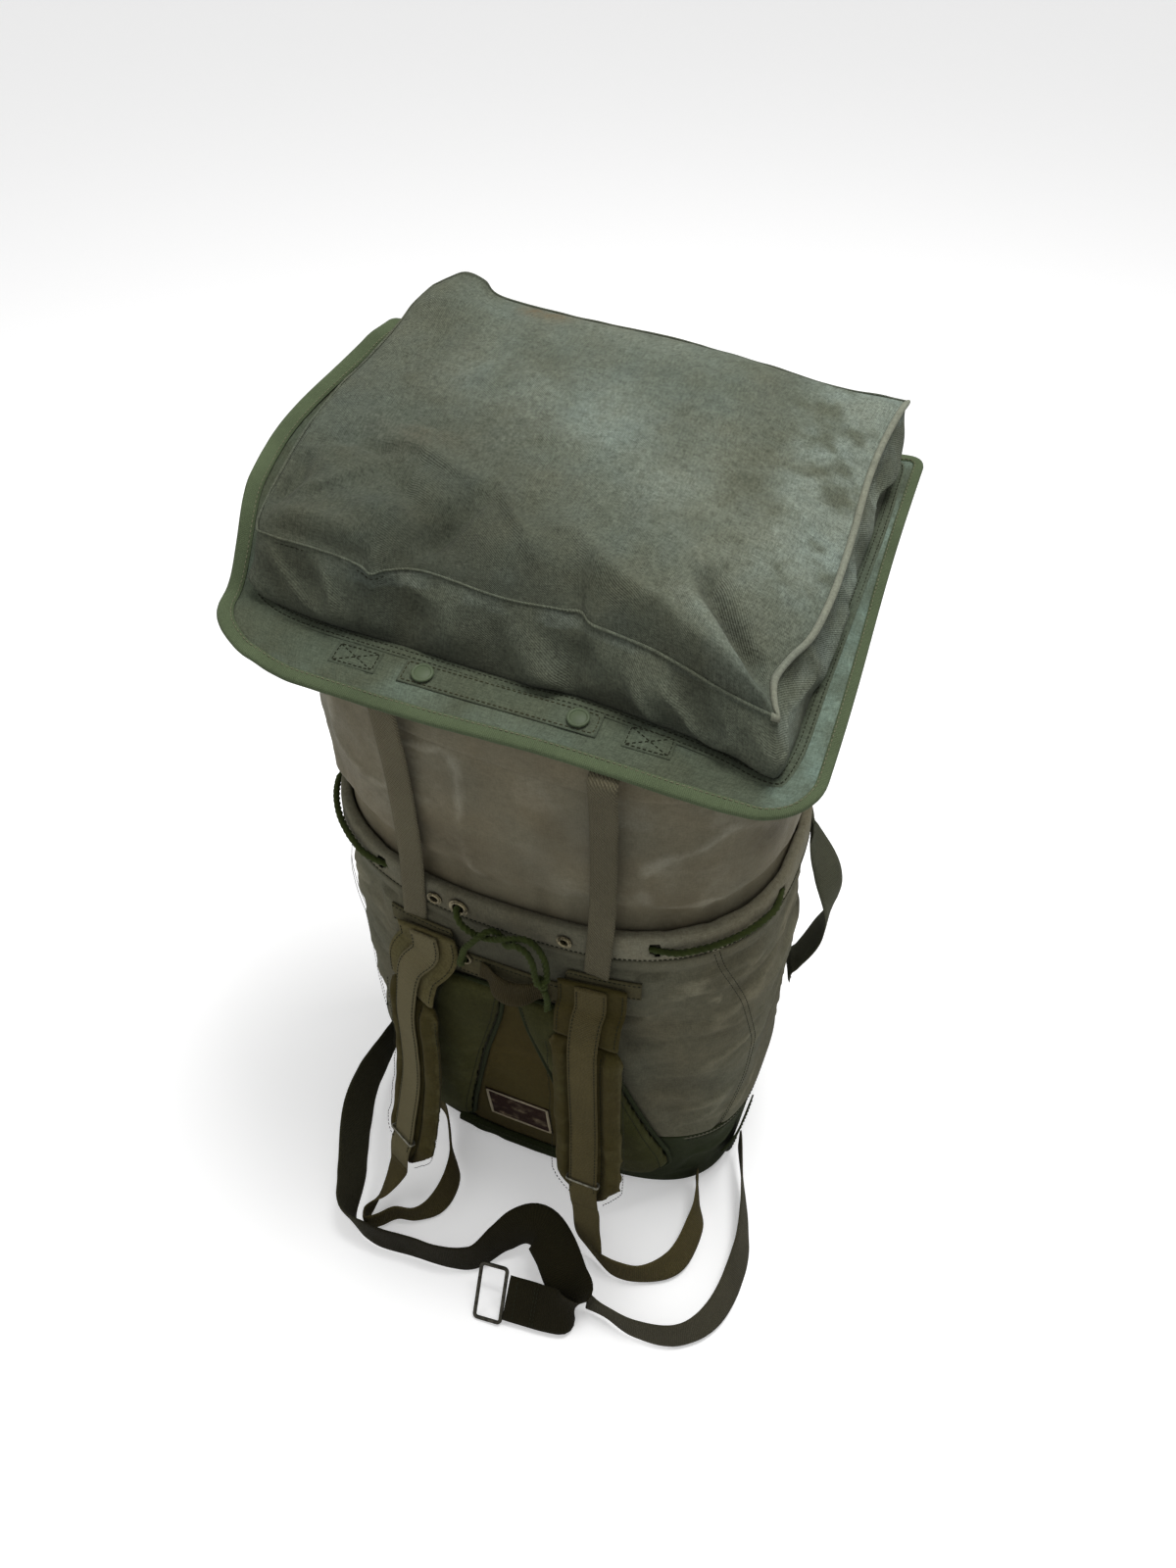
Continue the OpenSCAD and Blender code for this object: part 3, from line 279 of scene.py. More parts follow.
def shade_with(obj, name, values, inside=0.0):
    """An attribute of a piece made between two grids: values outside, and a share of them inside."""
    v = np.clip(values, 0, 1).ravel()
    attribute(obj, name, np.concatenate([v, inside * v]))


def all_over(obj, name, value):
    attribute(obj, name, np.full(len(obj.data.vertices), value))


def normals(grid, wrap):
    """Normals of a rows by columns grid, pointing to columns x rows."""
    du = np.roll(grid, -1, 1) - np.roll(grid, 1, 1) if wrap else np.gradient(grid, axis=1)
    return unit(np.cross(du, np.gradient(grid, axis=0)))


def arc(grid, axis):
    pad = [(0, 0), (0, 0)]
    pad[axis] = (1, 0)
    return np.cumsum(np.pad(np.linalg.norm(np.diff(grid, axis=axis), axis=-1), pad), axis=axis)


def middles(grid):
    """The middle of each cell of a grid, the last column joined to the first."""
    pair = 0.25 * (grid[:-1] + grid[1:])
    return pair + np.roll(pair, -1, 1)


def shell(name, outer, inner, u, v, wrap=False, keep=None, shift=0.0, **facts):
    """A closed piece between two grids of points, rows by columns, less the cells that aren't kept.

    u and v are the weave's coordinates at each point, with one column more where the grid closes on itself.
    """
    rows, cols = outer.shape[:2]
    size, faces, uvs, edges = rows * cols, [], [], {}

    def inside(uv):
        return [(a, b + shift) for a, b in uv]

    for r in range(rows - 1):
        for c in range(cols if wrap else cols - 1):
            if keep is not None and not keep[r, c]:
                continue
            k = (c + 1) % cols
            ids = [r * cols + c, r * cols + k, (r + 1) * cols + k, (r + 1) * cols + c]
            uv = [(u[i, j] * MM, v[i, j] * MM) for i, j in ((r, c), (r, c + 1), (r + 1, c + 1), (r + 1, c))]
            faces += [ids, [i + size for i in ids[:1] + ids[:0:-1]]]
            uvs += uv + inside(uv[:1] + uv[:0:-1])
            for i, j, p, q in zip(ids, ids[1:] + ids[:1], uv, uv[1:] + uv[:1]):
                if edges.pop((j, i), None) is None:
                    edges[i, j] = p, q
    for (i, j), (p, q) in edges.items():
        faces.append((j, i, i + size, j + size))
        uvs += [q, p] + inside([p, q])
    return make(name, np.concatenate([outer.reshape(-1, 3), inner.reshape(-1, 3)]), faces, uvs, **facts)


def skin(name, grid, thick, wrap=False, holes=(), **facts):
    """A cloth of some thickness whose outer face is a grid of points, with round holes where asked."""
    sheets = np.stack([grid, grid - normals(grid, wrap) * thick])
    u, v = arc(grid, 1).mean(0), arc(grid, 0).mean(1)
    if wrap:
        u = np.append(u, u[-1] + np.linalg.norm(grid[:, 0] - grid[:, -1], axis=-1).mean())
    middle = middles(grid)
    keep = np.ones(middle.shape[:2], bool)
    for centre, radius in holes:
        keep &= np.linalg.norm(middle - centre, axis=-1) > radius
    for centre, radius in holes:  # the rims are drawn on to the circle
        d = sheets - centre
        far = np.linalg.norm(d, axis=-1)
        rim = (far > radius - 3) & (far < radius + 1.6)
        sheets[rim] = centre + d[rim] / far[rim, None] * np.maximum(far[rim], radius)[:, None]
    return shell(name, *sheets, *np.meshgrid(u, v), wrap, keep, **facts)


def slab(name, front, back, **facts):
    """A closed solid between a front grid and a back grid."""
    return shell(name, front, back, arc(front, 1), arc(front, 0), shift=0.004, **facts)


def loft(name, rings, s, w, wrap=False, flip=False, **facts):
    """Rings of points joined in a row, with every face turned the other way when flip is set, as for rings that run
    clockwise.

    s and w are the weave's coordinates along and around.
    """
    rows, around = rings.shape[:2]
    cells = [[(r, c), (r, c + 1), (r + 1, c + 1), (r + 1, c)]
             for r in range(rows if wrap else rows - 1) for c in range(around)]
    if not wrap:
        cells += [[(0, c) for c in range(around)[::-1]], [(rows - 1, c) for c in range(around)]]
    if flip:
        cells = [cell[:1] + cell[:0:-1] for cell in cells]
    faces = [[r % rows * around + c % around for r, c in cell] for cell in cells]
    uvs = [(s[r], w[c]) for cell in cells for r, c in cell]
    return make(name, rings.reshape(-1, 3), faces, np.array(uvs) * MM, **facts)


def tube(name, path, radius, sides=12, lobes=0, pitch=22.0, scale=None, **facts):
    """A round cord along a path of points; with lobes it is a laid one."""
    p = np.asarray(path, float)
    t, s = unit(np.gradient(p, axis=0)), lengths(p)
    u = np.array(Z if abs(t[0][2]) < 0.8 else X, float)
    a = np.linspace(0, TAU, sides, endpoint=False)
    rings = []
    for k in range(len(p)):
        u = unit(u - (u @ t[k]) * t[k])
        r = radius * (1.0 if scale is None else scale[k])
        if lobes:
            r = r * (0.8 + 0.2 * np.cos(lobes * (a - TAU * s[k] / pitch)))
        rings.append(p[k] + (np.cos(a) * r)[:, None] * u + (np.sin(a) * r)[:, None] * np.cross(t[k], u))
    return loft(name, np.array(rings), s, np.arange(sides + 1) / sides * TAU * radius, **facts)


def sweep(name, path, inward, up, profile, wrap=True, **facts):
    """A closed cross-section of (inward, up) points carried along a path."""
    q = np.asarray(profile, float)
    rings = path[:, None] + q[None, :, :1] * inward[:, None] + q[None, :, 1:] * up[:, None]
    return loft(name, rings, lengths(closed(path)), lengths(closed(q)), wrap, **facts)


def strip_frames(stations, steps, step=3.0):
    """Even rows along stations: centre, direction, width, normal."""
    c = even(spline([[*p, *w] for p, w in stations], steps), step)
    p = c[:, :3]
    t = unit(np.gradient(p, axis=0))
    w = unit(c[:, 3:] - np.sum(c[:, 3:] * t, 1)[:, None] * t)
    return p, t, w, np.cross(t, w)


def webbing(name, stations, width, thick=WEB_T, steps=8, step=3.0, wave=0.25, seed=1, profile=None, cols=9, **facts):
    """Flat woven webbing with rounded selvedges and a slight waver, along stations."""
    p, t, w, n = strip_frames(stations, steps, step)
    s, u = lengths(p), np.linspace(-1, 1, cols)
    edge = thick / 2 * (np.sqrt(np.maximum(0, 1 - np.abs(u) ** 10)) * 0.75 + 0.25)
    waver = wave * noise(xyz(u * 1.3, s[:, None] / 14, seed * 7.1), seed)
    lift = 0.0 if profile is None else np.array([profile(u, k) for k in s / s[-1]])
    side = p[:, None] + (u * width / 2)[None, :, None] * w[:, None]
    top = side + (edge + lift + waver)[..., None] * n[:, None]
    low = side + (waver - edge)[..., None] * n[:, None]
    across = np.concatenate([u, u[::-1]]) * width / 2
    return loft(name, np.concatenate([top, low[:, ::-1]], 1), s, closed(across), flip=True, **facts)


def inflate(obj, cap, axes, shrink=1.2, voxel=4.0, pressure=4.0):
    """Fills a closed padded piece by cloth simulation, no point going further than cap.

    axes are the two directions along which its weave is laid again.
    """
    scene, old = bpy.context.scene, obj.data
    spots, norm = read(old.vertices, "co", 3), read(old.vertex_normals, "vector", 3)
    kept = {key: read(old.attributes[key].data, "value") for key in ("fade", "dark") if key in old.attributes}
    tree = KDTree(len(spots))
    for i, p in enumerate(spots):
        tree.insert(p, i)
    tree.balance()
    work = bpy.data.objects.new("filling", old.copy())
    work.data.vertices.foreach_set("co", (spots - norm * shrink * MM).ravel())
    scene.collection.objects.link(work)

    def taken():
        bpy.context.view_layer.update()
        return bpy.data.meshes.new_from_object(work.evaluated_get(bpy.context.evaluated_depsgraph_get()))

    remesh = work.modifiers.new("even", "REMESH")
    remesh.mode, remesh.voxel_size = "VOXEL", voxel * MM
    form = taken()
    work.modifiers.clear()
    work.data = form
    fill = work.modifiers.new("fill", "CLOTH").settings
    fill.use_pressure = True
    fill.uniform_pressure_force = pressure
    fill.effector_weights.gravity = 0
    for f in range(1, 21):
        scene.frame_set(f)
    start = read(form.vertices, "co", 3)
    move = read(taken().vertices, "co", 3) - start
    move *= np.minimum(1, cap * MM / np.maximum(np.linalg.norm(move, axis=1), 1e-9))[:, None]
    work.modifiers.clear()
    form.vertices.foreach_set("co", (start + move).ravel())
    finer = work.modifiers.new("finer", "SUBSURF")
    finer.levels = finer.render_levels = 1
    done = taken()
    scene.frame_set(1)
    done.polygons.foreach_set("use_smooth", [True] * len(done.polygons))
    co = read(done.vertices, "co", 3)
    ids = read(done.loops, "vertex_index").astype(int)
    while done.uv_layers:
        done.uv_layers.remove(done.uv_layers[0])
    done.uv_layers.new(name="UVMap").data.foreach_set("uv", (co @ np.array(axes, float).T)[ids].ravel())
    obj.data = done
    nearest = [tree.find(p)[1] for p in co]
    for key, values in kept.items():
        if key in done.attributes:
            done.attributes.remove(done.attributes[key])
        attribute(obj, key, values[nearest])
    done.materials.clear()
    done.materials.append(old.materials[0])
    bpy.data.objects.remove(work)


def press(obj, move):
    """Moves each point by what move gives for all of them, in millimetres."""
    co = read(obj.data.vertices, "co", 3) / MM
    obj.data.vertices.foreach_set("co", ((co + move(co)) * MM).ravel())
    obj.data.update()


def onto(obj, points, out):
    """Points moved along out until they lie on the piece."""
    tree = BVHTree.FromPolygons([tuple(v.co) for v in obj.data.vertices],
                                [tuple(p.vertices) for p in obj.data.polygons])
    found = []
    for p, o in zip(points, np.broadcast_to(out, points.shape)):
        hit = tree.ray_cast(Vector((p + 9 * o) * MM), Vector(-o), 0.018)[0]
        found.append(p if hit is None else np.array(hit) / MM)
    return np.array(found)


STITCH, STITCH_GAP = 2.4, 1.3
STITCH_BOX = np.array([(-1, -1, -0.5), (-1, 1, -0.5), (-0.7, 0.8, 1), (-0.7, -0.8, 1),
                       (1, -1, -0.5), (1, 1, -0.5), (0.7, 0.8, 1), (0.7, -0.8, 1)])
STITCH_FACES = np.array([(0, 3, 2, 1), (4, 5, 6, 7), (0, 4, 7, 3), (1, 2, 6, 5), (3, 7, 6, 2), (0, 1, 5, 4)])
stitches = {}


def sew(body, look, points, out, radius=0.32, lift=0.15):
    """Keeps a line of stitches for one body and thread, to be made into one piece at the end."""
    points = np.asarray(points, float)
    row = even(np.concatenate([points, np.broadcast_to(out, points.shape)], 1), STITCH + STITCH_GAP)
    mid = 0.5 * (row[:-1] + row[1:])
    along = unit(np.diff(row[:, :3], axis=0))
    up = unit(mid[:, 3:] - np.sum(mid[:, 3:] * along, 1)[:, None] * along)
    axes = np.stack([along * STITCH / 2, np.cross(up, along) * radius, up * radius], 1)
    stitches.setdefault((body, look), []).append((mid[:, :3] + up * lift)[:, None] + STITCH_BOX @ axes)

# ---- Materials -----------------------------------------------------------
def srgb(r, g, b):
    c = np.array([r, g, b]) / 255
    return tuple(np.where(c <= 0.04045, c / 12.92, ((c + 0.055) / 1.055) ** 2.4)) + (1.0,)


def shade(colour, k):
    return tuple(c * k for c in colour[:3]) + (1.0,)


class Signal:
    """One output in a node tree, with sums that add the nodes for them."""

    def __init__(self, tree, out):
        self.tree, self.out = tree, out

    def __add__(self, other):
        return self.tree.math("ADD", self, other)

    def __sub__(self, other):
        return self.tree.math("SUBTRACT", self, other)

    def __rsub__(self, other):
        return self.tree.math("SUBTRACT", other, self)

    def __mul__(self, other):
        return self.tree.math("MULTIPLY", self, other)


class Tree:
    """A node tree, with short ways to add to it."""

    def __init__(self, tree):
        self.tree = tree

    def link(self, value, socket):
        if isinstance(value, Signal):
            self.tree.links.new(value.out, socket)
        else:
            socket.default_value = value

    def add(self, kind, inputs=(), out=0, **props):
        n = self.tree.nodes.new(kind)
        for k, v in props.items():
            setattr(n, k, v)
        for k, v in dict(inputs).items():
            self.link(v, n.inputs[k])
        return Signal(self, n.outputs[out])

    def math(self, op, a, b=0.0, clamp=False):
        return self.add("ShaderNodeMath", {0: a, 1: b}, operation=op, use_clamp=clamp)

    def background_rays(self):
        """1 for the rays that show the background: from the camera, or by way of gloss or glass."""
        path = self.add("ShaderNodeLightPath").out.node
        camera, gloss, glass = (Signal(self, path.outputs["Is %s Ray" % k]) for k in
                                ("Camera", "Glossy", "Transmission"))
        return self.math("MAXIMUM", self.math("MAXIMUM", camera, gloss), glass)


class Paint(Tree):
    """A material's node tree."""

    def __init__(self, name, rough, specular=0.25, sheen=0.0, metallic=0.0):
        self.mat = bpy.data.materials.new(name)
        self.mat.use_nodes = True
        super().__init__(self.mat.node_tree)
        self.bsdf = self.tree.nodes["Principled BSDF"].inputs
        for key, value in (("Roughness", rough), ("Specular IOR Level", specular), ("Metallic", metallic),
                           ("Sheen Weight", sheen), ("Sheen Roughness", 0.6)):
            self.bsdf[key].default_value = value

    def mix(self, factor, a, b, blend="MIX"):
        return self.add("ShaderNodeMix", {0: factor, 6: a, 7: b}, out=2, data_type="RGBA", blend_type=blend)

    def scaled(self, vector, scale):
        return self.add("ShaderNodeMapping", {"Vector": vector, "Scale": scale})

    def place(self, kind, scale=(1, 1, 1)):
        return self.scaled(self.add("ShaderNodeTexCoord", out=kind), scale)

    def split(self, vector):
        node = self.add("ShaderNodeSeparateXYZ", {"Vector": vector}).out.node
        return Signal(self, node.outputs[0]), Signal(self, node.outputs[1])

    def noise(self, vector, scale=1.0, detail=2.0, rough=0.5):
        return self.add("ShaderNodeTexNoise", {"Vector": vector, "Scale": scale, "Detail": detail,
                                               "Roughness": rough})

    def waves(self, value, pitch):
        return self.math("SINE", value * (TAU / pitch))

    def ramp(self, value, low, high):
        return self.add("ShaderNodeMapRange", {"Value": value, "From Min": low, "From Max": high})

    def drawn(self, key):
        return self.add("ShaderNodeAttribute", out="Fac", attribute_name=key)

    def two_tones(self, factor, colour, spread):
        return self.mix(factor, shade(colour, 1 - spread), shade(colour, 1 + spread))

    def times(self, colour, light):
        return self.mix(1.0, colour, self.add("ShaderNodeCombineColor", {0: light, 1: light, 2: light}), "MULTIPLY")

    def finish(self, colour, height, depth, slot=None):
        """The look: the material with its colour and its bump, and its slot."""
        self.link(colour, self.bsdf["Base Color"])
        self.link(self.add("ShaderNodeBump", {"Height": height, "Distance": depth, "Strength": 1.0}),
                  self.bsdf["Normal"])
        return self.mat, slot


WEAVE = (1000, 1000, 1000)                                 # a weave's coordinates in millimetres


def cloth(slot, name, colour, faded=None, grimy=None, spread=0.14, slub=0.16, pitch=1.0, twill=False, rough=0.9,
          sheen=0.02, depth=0.00035, blotch=7.0, specks=0.0):
    """Woven canvas: yarn slubs both ways, a weave, soft mottling, and by attribute worn places, soiled places that
    also carry painted shade, and darkening that is mostly painted shade.
    """
    m = Paint(name, rough, 0.05, sheen)
    yarn, where = m.place("UV", WEAVE), m.place("Object")
    slubs = m.noise(m.scaled(yarn, (0.16, 1.0, 1)), 1.0, 3, 0.6) + m.noise(m.scaled(yarn, (1.0, 0.16, 1)), 1.0, 3, 0.6)
    x, y = m.split(yarn)
    weave = m.waves(y + x * 0.8, pitch) if twill else m.waves(x, pitch) * m.waves(y, pitch)
    cloud, fine = m.noise(where, blotch, 5, 0.62), m.noise(where, blotch * 16, 4, 0.65)
    out = m.two_tones(m.ramp(cloud * 0.65 + fine * 0.35, 0.36, 0.64), colour, spread)
    worn = m.math("MULTIPLY", m.drawn("fade"), m.ramp(fine, 0.0, 0.55), True)
    # Soiled colour by attribute: real grime on most pieces, and painted shade where the collar comes out of the hem.
    soil_and_shade = m.math("MULTIPLY", m.drawn("grime"), m.ramp(fine, 0.2, 0.55), True)
    out = m.mix(soil_and_shade, m.mix(worn, out, faded or shade(colour, 1.35)), grimy or shade(colour, 0.6))
    drift = m.ramp(m.noise(where, blotch * 0.8 + 3, 3, 0.6), 0.35, 0.65)
    out = m.mix(1.0, out, m.mix(drift, (1.025, 0.99, 0.955, 1), (0.975, 1.01, 1.045, 1)), "MULTIPLY")
    light = (slubs - 1.0) * (slub * 3.2) + 1.0 + weave * (slub * 0.16) \
        + (m.noise(where, 640, 3, 0.7) - 0.5) * (slub * 3.4)
    # The dark attribute darkens the cloth: painted shade in folds, hollows and under other parts on several pieces,
    # with some random darker tone.
    light = light * (1.0 - m.drawn("dark") * 0.42)
    if specks:
        light = light - m.ramp(m.noise(yarn, 0.55, 2), 0.7, 0.8) * specks
    return m.finish(m.times(out, light), slubs * 0.8 + weave * 0.22, depth, slot)


def band(name, colour, pitch=1.6, slant=0.0, spread=0.12, depth=0.0005, faded=None, slot="webbing_olive"):
    """Woven webbing: slanted ribs and warp ends. u runs along and v across."""
    m = Paint(name, 0.86, 0.06, 0.02)
    at = m.place("UV", WEAVE)
    u, v = m.split(at)
    rib = m.waves(u + v * slant + (m.noise(at, 0.35, 2) - 0.5) * 1.4, pitch)
    ends = m.waves(v, 1.1)
    hair = m.noise(m.scaled(at, (0.3, 2.2, 1)), 1.0, 3, 0.6)
    out = m.two_tones(m.ramp(m.noise(m.place("Object"), 16, 4, 0.6), 0.35, 0.65), colour, spread)
    out = m.mix(m.drawn("fade"), out, faded or shade(colour, 1.5))
    light = rib * 0.17 + ends * 0.1 + 1.0 + (hair - 0.5) * 0.9
    return m.finish(m.times(out, light), rib * 0.5 + ends * 0.3 + hair * 0.5, depth, slot)


def fibre(name, colour, spread=0.12, slot="webbing_olive"):
    """Laid cord or sewing thread: fine fibres along and a little colour drift."""
    m = Paint(name, 0.9, 0.06, 0.03)
    hair, drift = m.noise(m.place("UV", (700, 5200, 1)), 1.0, 3, 0.6), m.noise(m.place("Object"), 60, 3, 0.6)
    return m.finish(m.two_tones(m.ramp(hair * 0.5 + drift * 0.5, 0.35, 0.65), colour, spread), hair, 0.0004, slot)


def metal(name, colour, stain, rough):
    """Old plated metal: dull, with darker tarnish in patches and fine scratches."""
    m = Paint(name, rough, 0.5, 0.0, 0.9)
    where = m.place("Object")
    patch = m.ramp(m.noise(where, 180, 4, 0.65), 0.4, 0.66)
    m.link(patch * 0.25 + rough, m.bsdf["Roughness"])
    scratch = m.noise(m.scaled(where, (2400, 300, 300)), 1.0, 2)
    return m.finish(m.mix(patch, colour, stain), patch + scratch * 0.3, 0.00015)


def enamel(name, colour):
    """Painted snap cap with rubbed places."""
    m = Paint(name, 0.55, 0.2)
    where = m.place("Object")
    rub = m.ramp(m.noise(where, 260, 4, 0.6), 0.62, 0.8)
    tone = m.ramp(m.noise(where, 90, 3), 0.3, 0.7)
    return m.finish(m.mix(rub, m.two_tones(tone, colour, 0.14), shade(colour, 1.7)), rub, 0.0001)


lid_cloth = cloth("canvas_lid", "lid_canvas", srgb(80, 84, 71), srgb(114, 122, 111), srgb(97, 82, 58), 0.11, 0.36,
                  1.6, True, depth=0.0006, blotch=14, specks=0.2)
piping_cloth = cloth("canvas_lid", "pocket_piping", srgb(112, 114, 100), srgb(124, 127, 114), None, 0.12, 0.2, 1.2)
lid_flat = cloth("canvas_lid", "lid_canvas_flange", srgb(71, 77, 63), srgb(100, 114, 102), srgb(60, 58, 40), 0.12,
                 0.28, 1.2, blotch=14, specks=0.15)
coated = cloth("canvas_coated", "coated_canvas", srgb(101, 96, 79), srgb(128, 124, 108), srgb(70, 64, 50), 0.13, 0.1,
               rough=0.6, sheen=0.0, depth=0.0002, blotch=10)
body_cloth = cloth("canvas_olive", "body_canvas", srgb(90, 88, 72), srgb(118, 115, 96), srgb(56, 51, 34), 0.16,
                   blotch=9)
hem_cloth = cloth("canvas_olive", "hem_canvas", srgb(95, 92, 76), srgb(116, 112, 94), srgb(56, 53, 38), slub=0.18,
                  blotch=14)
panel_cloth = cloth("canvas_olive", "back_canvas", srgb(58, 50, 20), blotch=12)
boot_cloth = cloth("canvas_boot", "boot_canvas", srgb(34, 39, 20), srgb(58, 65, 42), srgb(28, 30, 18), 0.2,
                   pitch=1.1, blotch=12)
wing_cloth = cloth("canvas_boot", "wing_canvas", srgb(52, 52, 23), srgb(72, 72, 42), None, 0.18, blotch=14)
# The yoke's colour lies between its own canvas colour and the shade between the straps: partly painted shade.
yoke_cloth = cloth("webbing_olive", "yoke_canvas", srgb(70, 66, 46), srgb(96, 92, 70), blotch=18)
pad_cloth = cloth("webbing_olive", "pad_canvas", srgb(56, 50, 23), srgb(86, 80, 52), srgb(42, 37, 20), blotch=18)
label_cloth = cloth("label_brown", "label_brown", srgb(33, 14, 6), srgb(140, 126, 100), None, 0.16, 0.14, 0.7,
                    blotch=30)
label_edge = cloth("label_brown", "label_border", srgb(150, 140, 118), None, None, 0.12, 0.14, 0.7, blotch=40)
tape_green = band("binding_tape", srgb(74, 84, 61), 1.2, 0, 0.14, 0.0002, slot="webbing_green")
web_olive = band("webbing_olive", srgb(68, 65, 48), 2.3, 0.9, faded=srgb(112, 108, 84))
web_lid = band("webbing_lid_strap", srgb(96, 91, 72), 3.0, 1.2, depth=0.0009)
web_pad = band("webbing_shoulder", srgb(80, 72, 44), faded=srgb(116, 110, 84))
web_belt = band("webbing_belt", srgb(27, 24, 9), spread=0.16, faded=srgb(68, 66, 48))
web_handle = band("webbing_handle", srgb(56, 49, 28), spread=0.16)
web_tail = band("webbing_belt_tail", srgb(66, 63, 50), spread=0.14)
web_loop = band("webbing_side_loop", srgb(72, 73, 58), 1.8)
zip_dark = band("zip_tape", srgb(40, 42, 30), 1.0, depth=0.0002, slot="zip_dark")
moss = fibre("moss_cord", srgb(50, 58, 25), 0.25, "cord_moss")
thread = fibre("olive_thread", srgb(52, 52, 36))
pale_thread = fibre("pale_thread", srgb(98, 98, 78))
dark_thread = fibre("dark_thread", srgb(34, 36, 24))
brass = metal("dull_brass", srgb(120, 112, 88), srgb(52, 48, 34), 0.38)
steel = metal("dull_steel", srgb(118, 116, 104), srgb(56, 54, 44), 0.4)
dark_steel = metal("dark_steel", srgb(64, 62, 54), srgb(34, 32, 26), 0.45)
cap_green = enamel("cap_green", srgb(66, 76, 55))

# ---- Camera, floor and light ---------------------------------------------
FLOOR_Z, FLOOR_GLOW, SKY = -0.0042, 0.3, 0.5


def placed(name, data):
    obj = bpy.data.objects.new(name, data)
    bpy.context.scene.collection.objects.link(obj)
    return obj


cam_data = bpy.data.cameras.new("camera")
cam_data.sensor_fit = "VERTICAL"
cam_data.sensor_width = cam_data.sensor_height = 36.0
cam_data.lens = 36.0 * 1240.0 / 1600.0
cam_data.clip_start, cam_data.clip_end = 0.02, 60.0
cam = placed("camera", cam_data)
cam.location = (0.281, -0.624, 1.074)
cam_yaw, cam_pitch, cam_lean = (math.radians(a) for a in (-23.3, 44.6, -0.9))
look_at = Vector((math.sin(cam_yaw) * math.cos(cam_pitch), math.cos(cam_yaw) * math.cos(cam_pitch),
                  -math.sin(cam_pitch)))
level = Vector((math.cos(cam_yaw), -math.sin(cam_yaw), 0))
over = level.cross(look_at)
cam_x = math.cos(cam_lean) * level + math.sin(cam_lean) * over
cam_y = -math.sin(cam_lean) * level + math.cos(cam_lean) * over
cam.rotation_euler = Matrix((cam_x, cam_y, -look_at)).transposed().to_euler()
bpy.context.scene.camera = cam

ground = Paint("floor_white", 0.7, 0.5)
ground.bsdf["Base Color"].default_value = (0.92, 0.92, 0.92, 1)
ground.bsdf["Emission Color"].default_value = (1, 1, 1, 1)
ground.link(ground.background_rays() * FLOOR_GLOW, ground.bsdf["Emission Strength"])
floor_mesh = bpy.data.meshes.new("floor")
floor_mesh.from_pydata([(x, y, FLOOR_Z) for x, y in ((-9, -9), (9, -9), (9, 9), (-9, 9))], [], [(0, 1, 2, 3)])
floor_mesh.materials.append(ground.mat)
placed("floor", floor_mesh)

world = bpy.data.worlds.new("studio")
world.use_nodes = True
bpy.context.scene.world = world
sky = Tree(world.node_tree)
white = (1, 1, 1, 1)
lit, seen = (sky.add("ShaderNodeBackground", {0: white, 1: strength}) for strength in (SKY, 1.0))
sky.link(sky.add("ShaderNodeMixShader", {0: sky.background_rays(), 1: lit, 2: seen}),
         world.node_tree.nodes["World Output"].inputs[0])

for name, at, aim, energy, size in (("key", (0.35, 0.35, 2.3), (0, 0, 0.4), 38, 0.9),
                                    ("fill", (-1.5, -1.2, 1.6), (0, 0, 0.3), 8, 1.4)):
    data = bpy.data.lights.new(name, "AREA")
    data.energy, data.size = energy, size
    lamp = placed(name, data)
    lamp.location = at
    lamp.rotation_euler = (Vector(aim) - Vector(at)).to_track_quat("-Z", "Y").to_euler()
bpy.context.scene.view_settings.view_transform = "Standard"

# ---- Cords ---------------------------------------------------------------
CORD_MID, CORD_OUT = 9.4 / 2, -CORD_D / 2 - 0.3
CORD_Z = TUNNEL_Z + TUNNEL_H / 2
cord_deg = np.linspace(-94, 252, 420)
from_hole = np.abs(np.abs(np.where(cord_deg > 90, cord_deg - 360, cord_deg) + 90) - 54)
cord_insets = mix(CORD_MID, CORD_OUT, 1 - smooth((from_hole - 17) / 14))
cord_line = np.array([bag(CORD_Z, i, math.radians(d)) for d, i in zip(cord_deg, cord_insets)])
drawcord = tube("drawcord_round_hem", cord_line, CORD_D / 2, 14, 3, 15, look=moss)
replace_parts(drawcord, "drawcord")

CORD_ENDS_D = 5.8
cord_points = [
    (-40, -123, 371), (-40, -131, 371), (-34, -136, 364), (-22, -136, 357), (-8, -136, 359),
    (6, -136, 366), (18, -136, 371), (26, -136, 368), (32, -136, 358), (35, -137, 347),
    (36, -140, 336), (32, -144, 333), (29, -144, 341), (27, -143, 354), (22, -142, 364),
    (13, -141.6, 368), (4.5, -138, 359.6), (-3.5, -131.4, 359), (-11, -133.5, 364.2), (-18, -140.6, 361.5),
    (-25, -142, 352), (-31, -141, 342), (-34, -140, 332), (-37, -140, 322), (-38, -136, 315), (-38, -128, 315)]
cord_path = even(spline(cord_points, 8), 1.2)
laid = dict(sides=14, lobes=3, pitch=14, look=moss)
cord_ends = tube("drawcord_free_ends", cord_path, CORD_ENDS_D / 2, **laid)
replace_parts(cord_ends, "drawcord_ends")

a = np.linspace(0, TAU, 150)
knot_line = np.stack([np.sin(a) + 2 * np.sin(2 * a), np.cos(a) - 2 * np.cos(2 * a), -1.15 * np.sin(3 * a)], 1) * 1.5
knot_turn = turn("Z", math.radians(30)) @ turn("X", math.radians(70))
knot = tube("cord_knot_turns", knot_line @ knot_turn.T + np.array([33, -141, 332]), 2.5, 12, 3, 14, look=moss)
tail_line = even(spline([(35, -143, 326), (36.5, -142, 317), (36.5, -141, 308), (35.5, -140, 299)], 8), 1.2)
fray = 1 + 0.25 * smooth((np.linspace(0, 1, len(tail_line)) - 0.9) / 0.1)
cord_tail = tube("cord_frayed_tail", tail_line, CORD_ENDS_D / 2, scale=fray, **laid)
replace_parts(knot, "cord_knot")

# ---- Bag shells ----------------------------------------------------------
COLS = 300
T = even_angles(COLS)


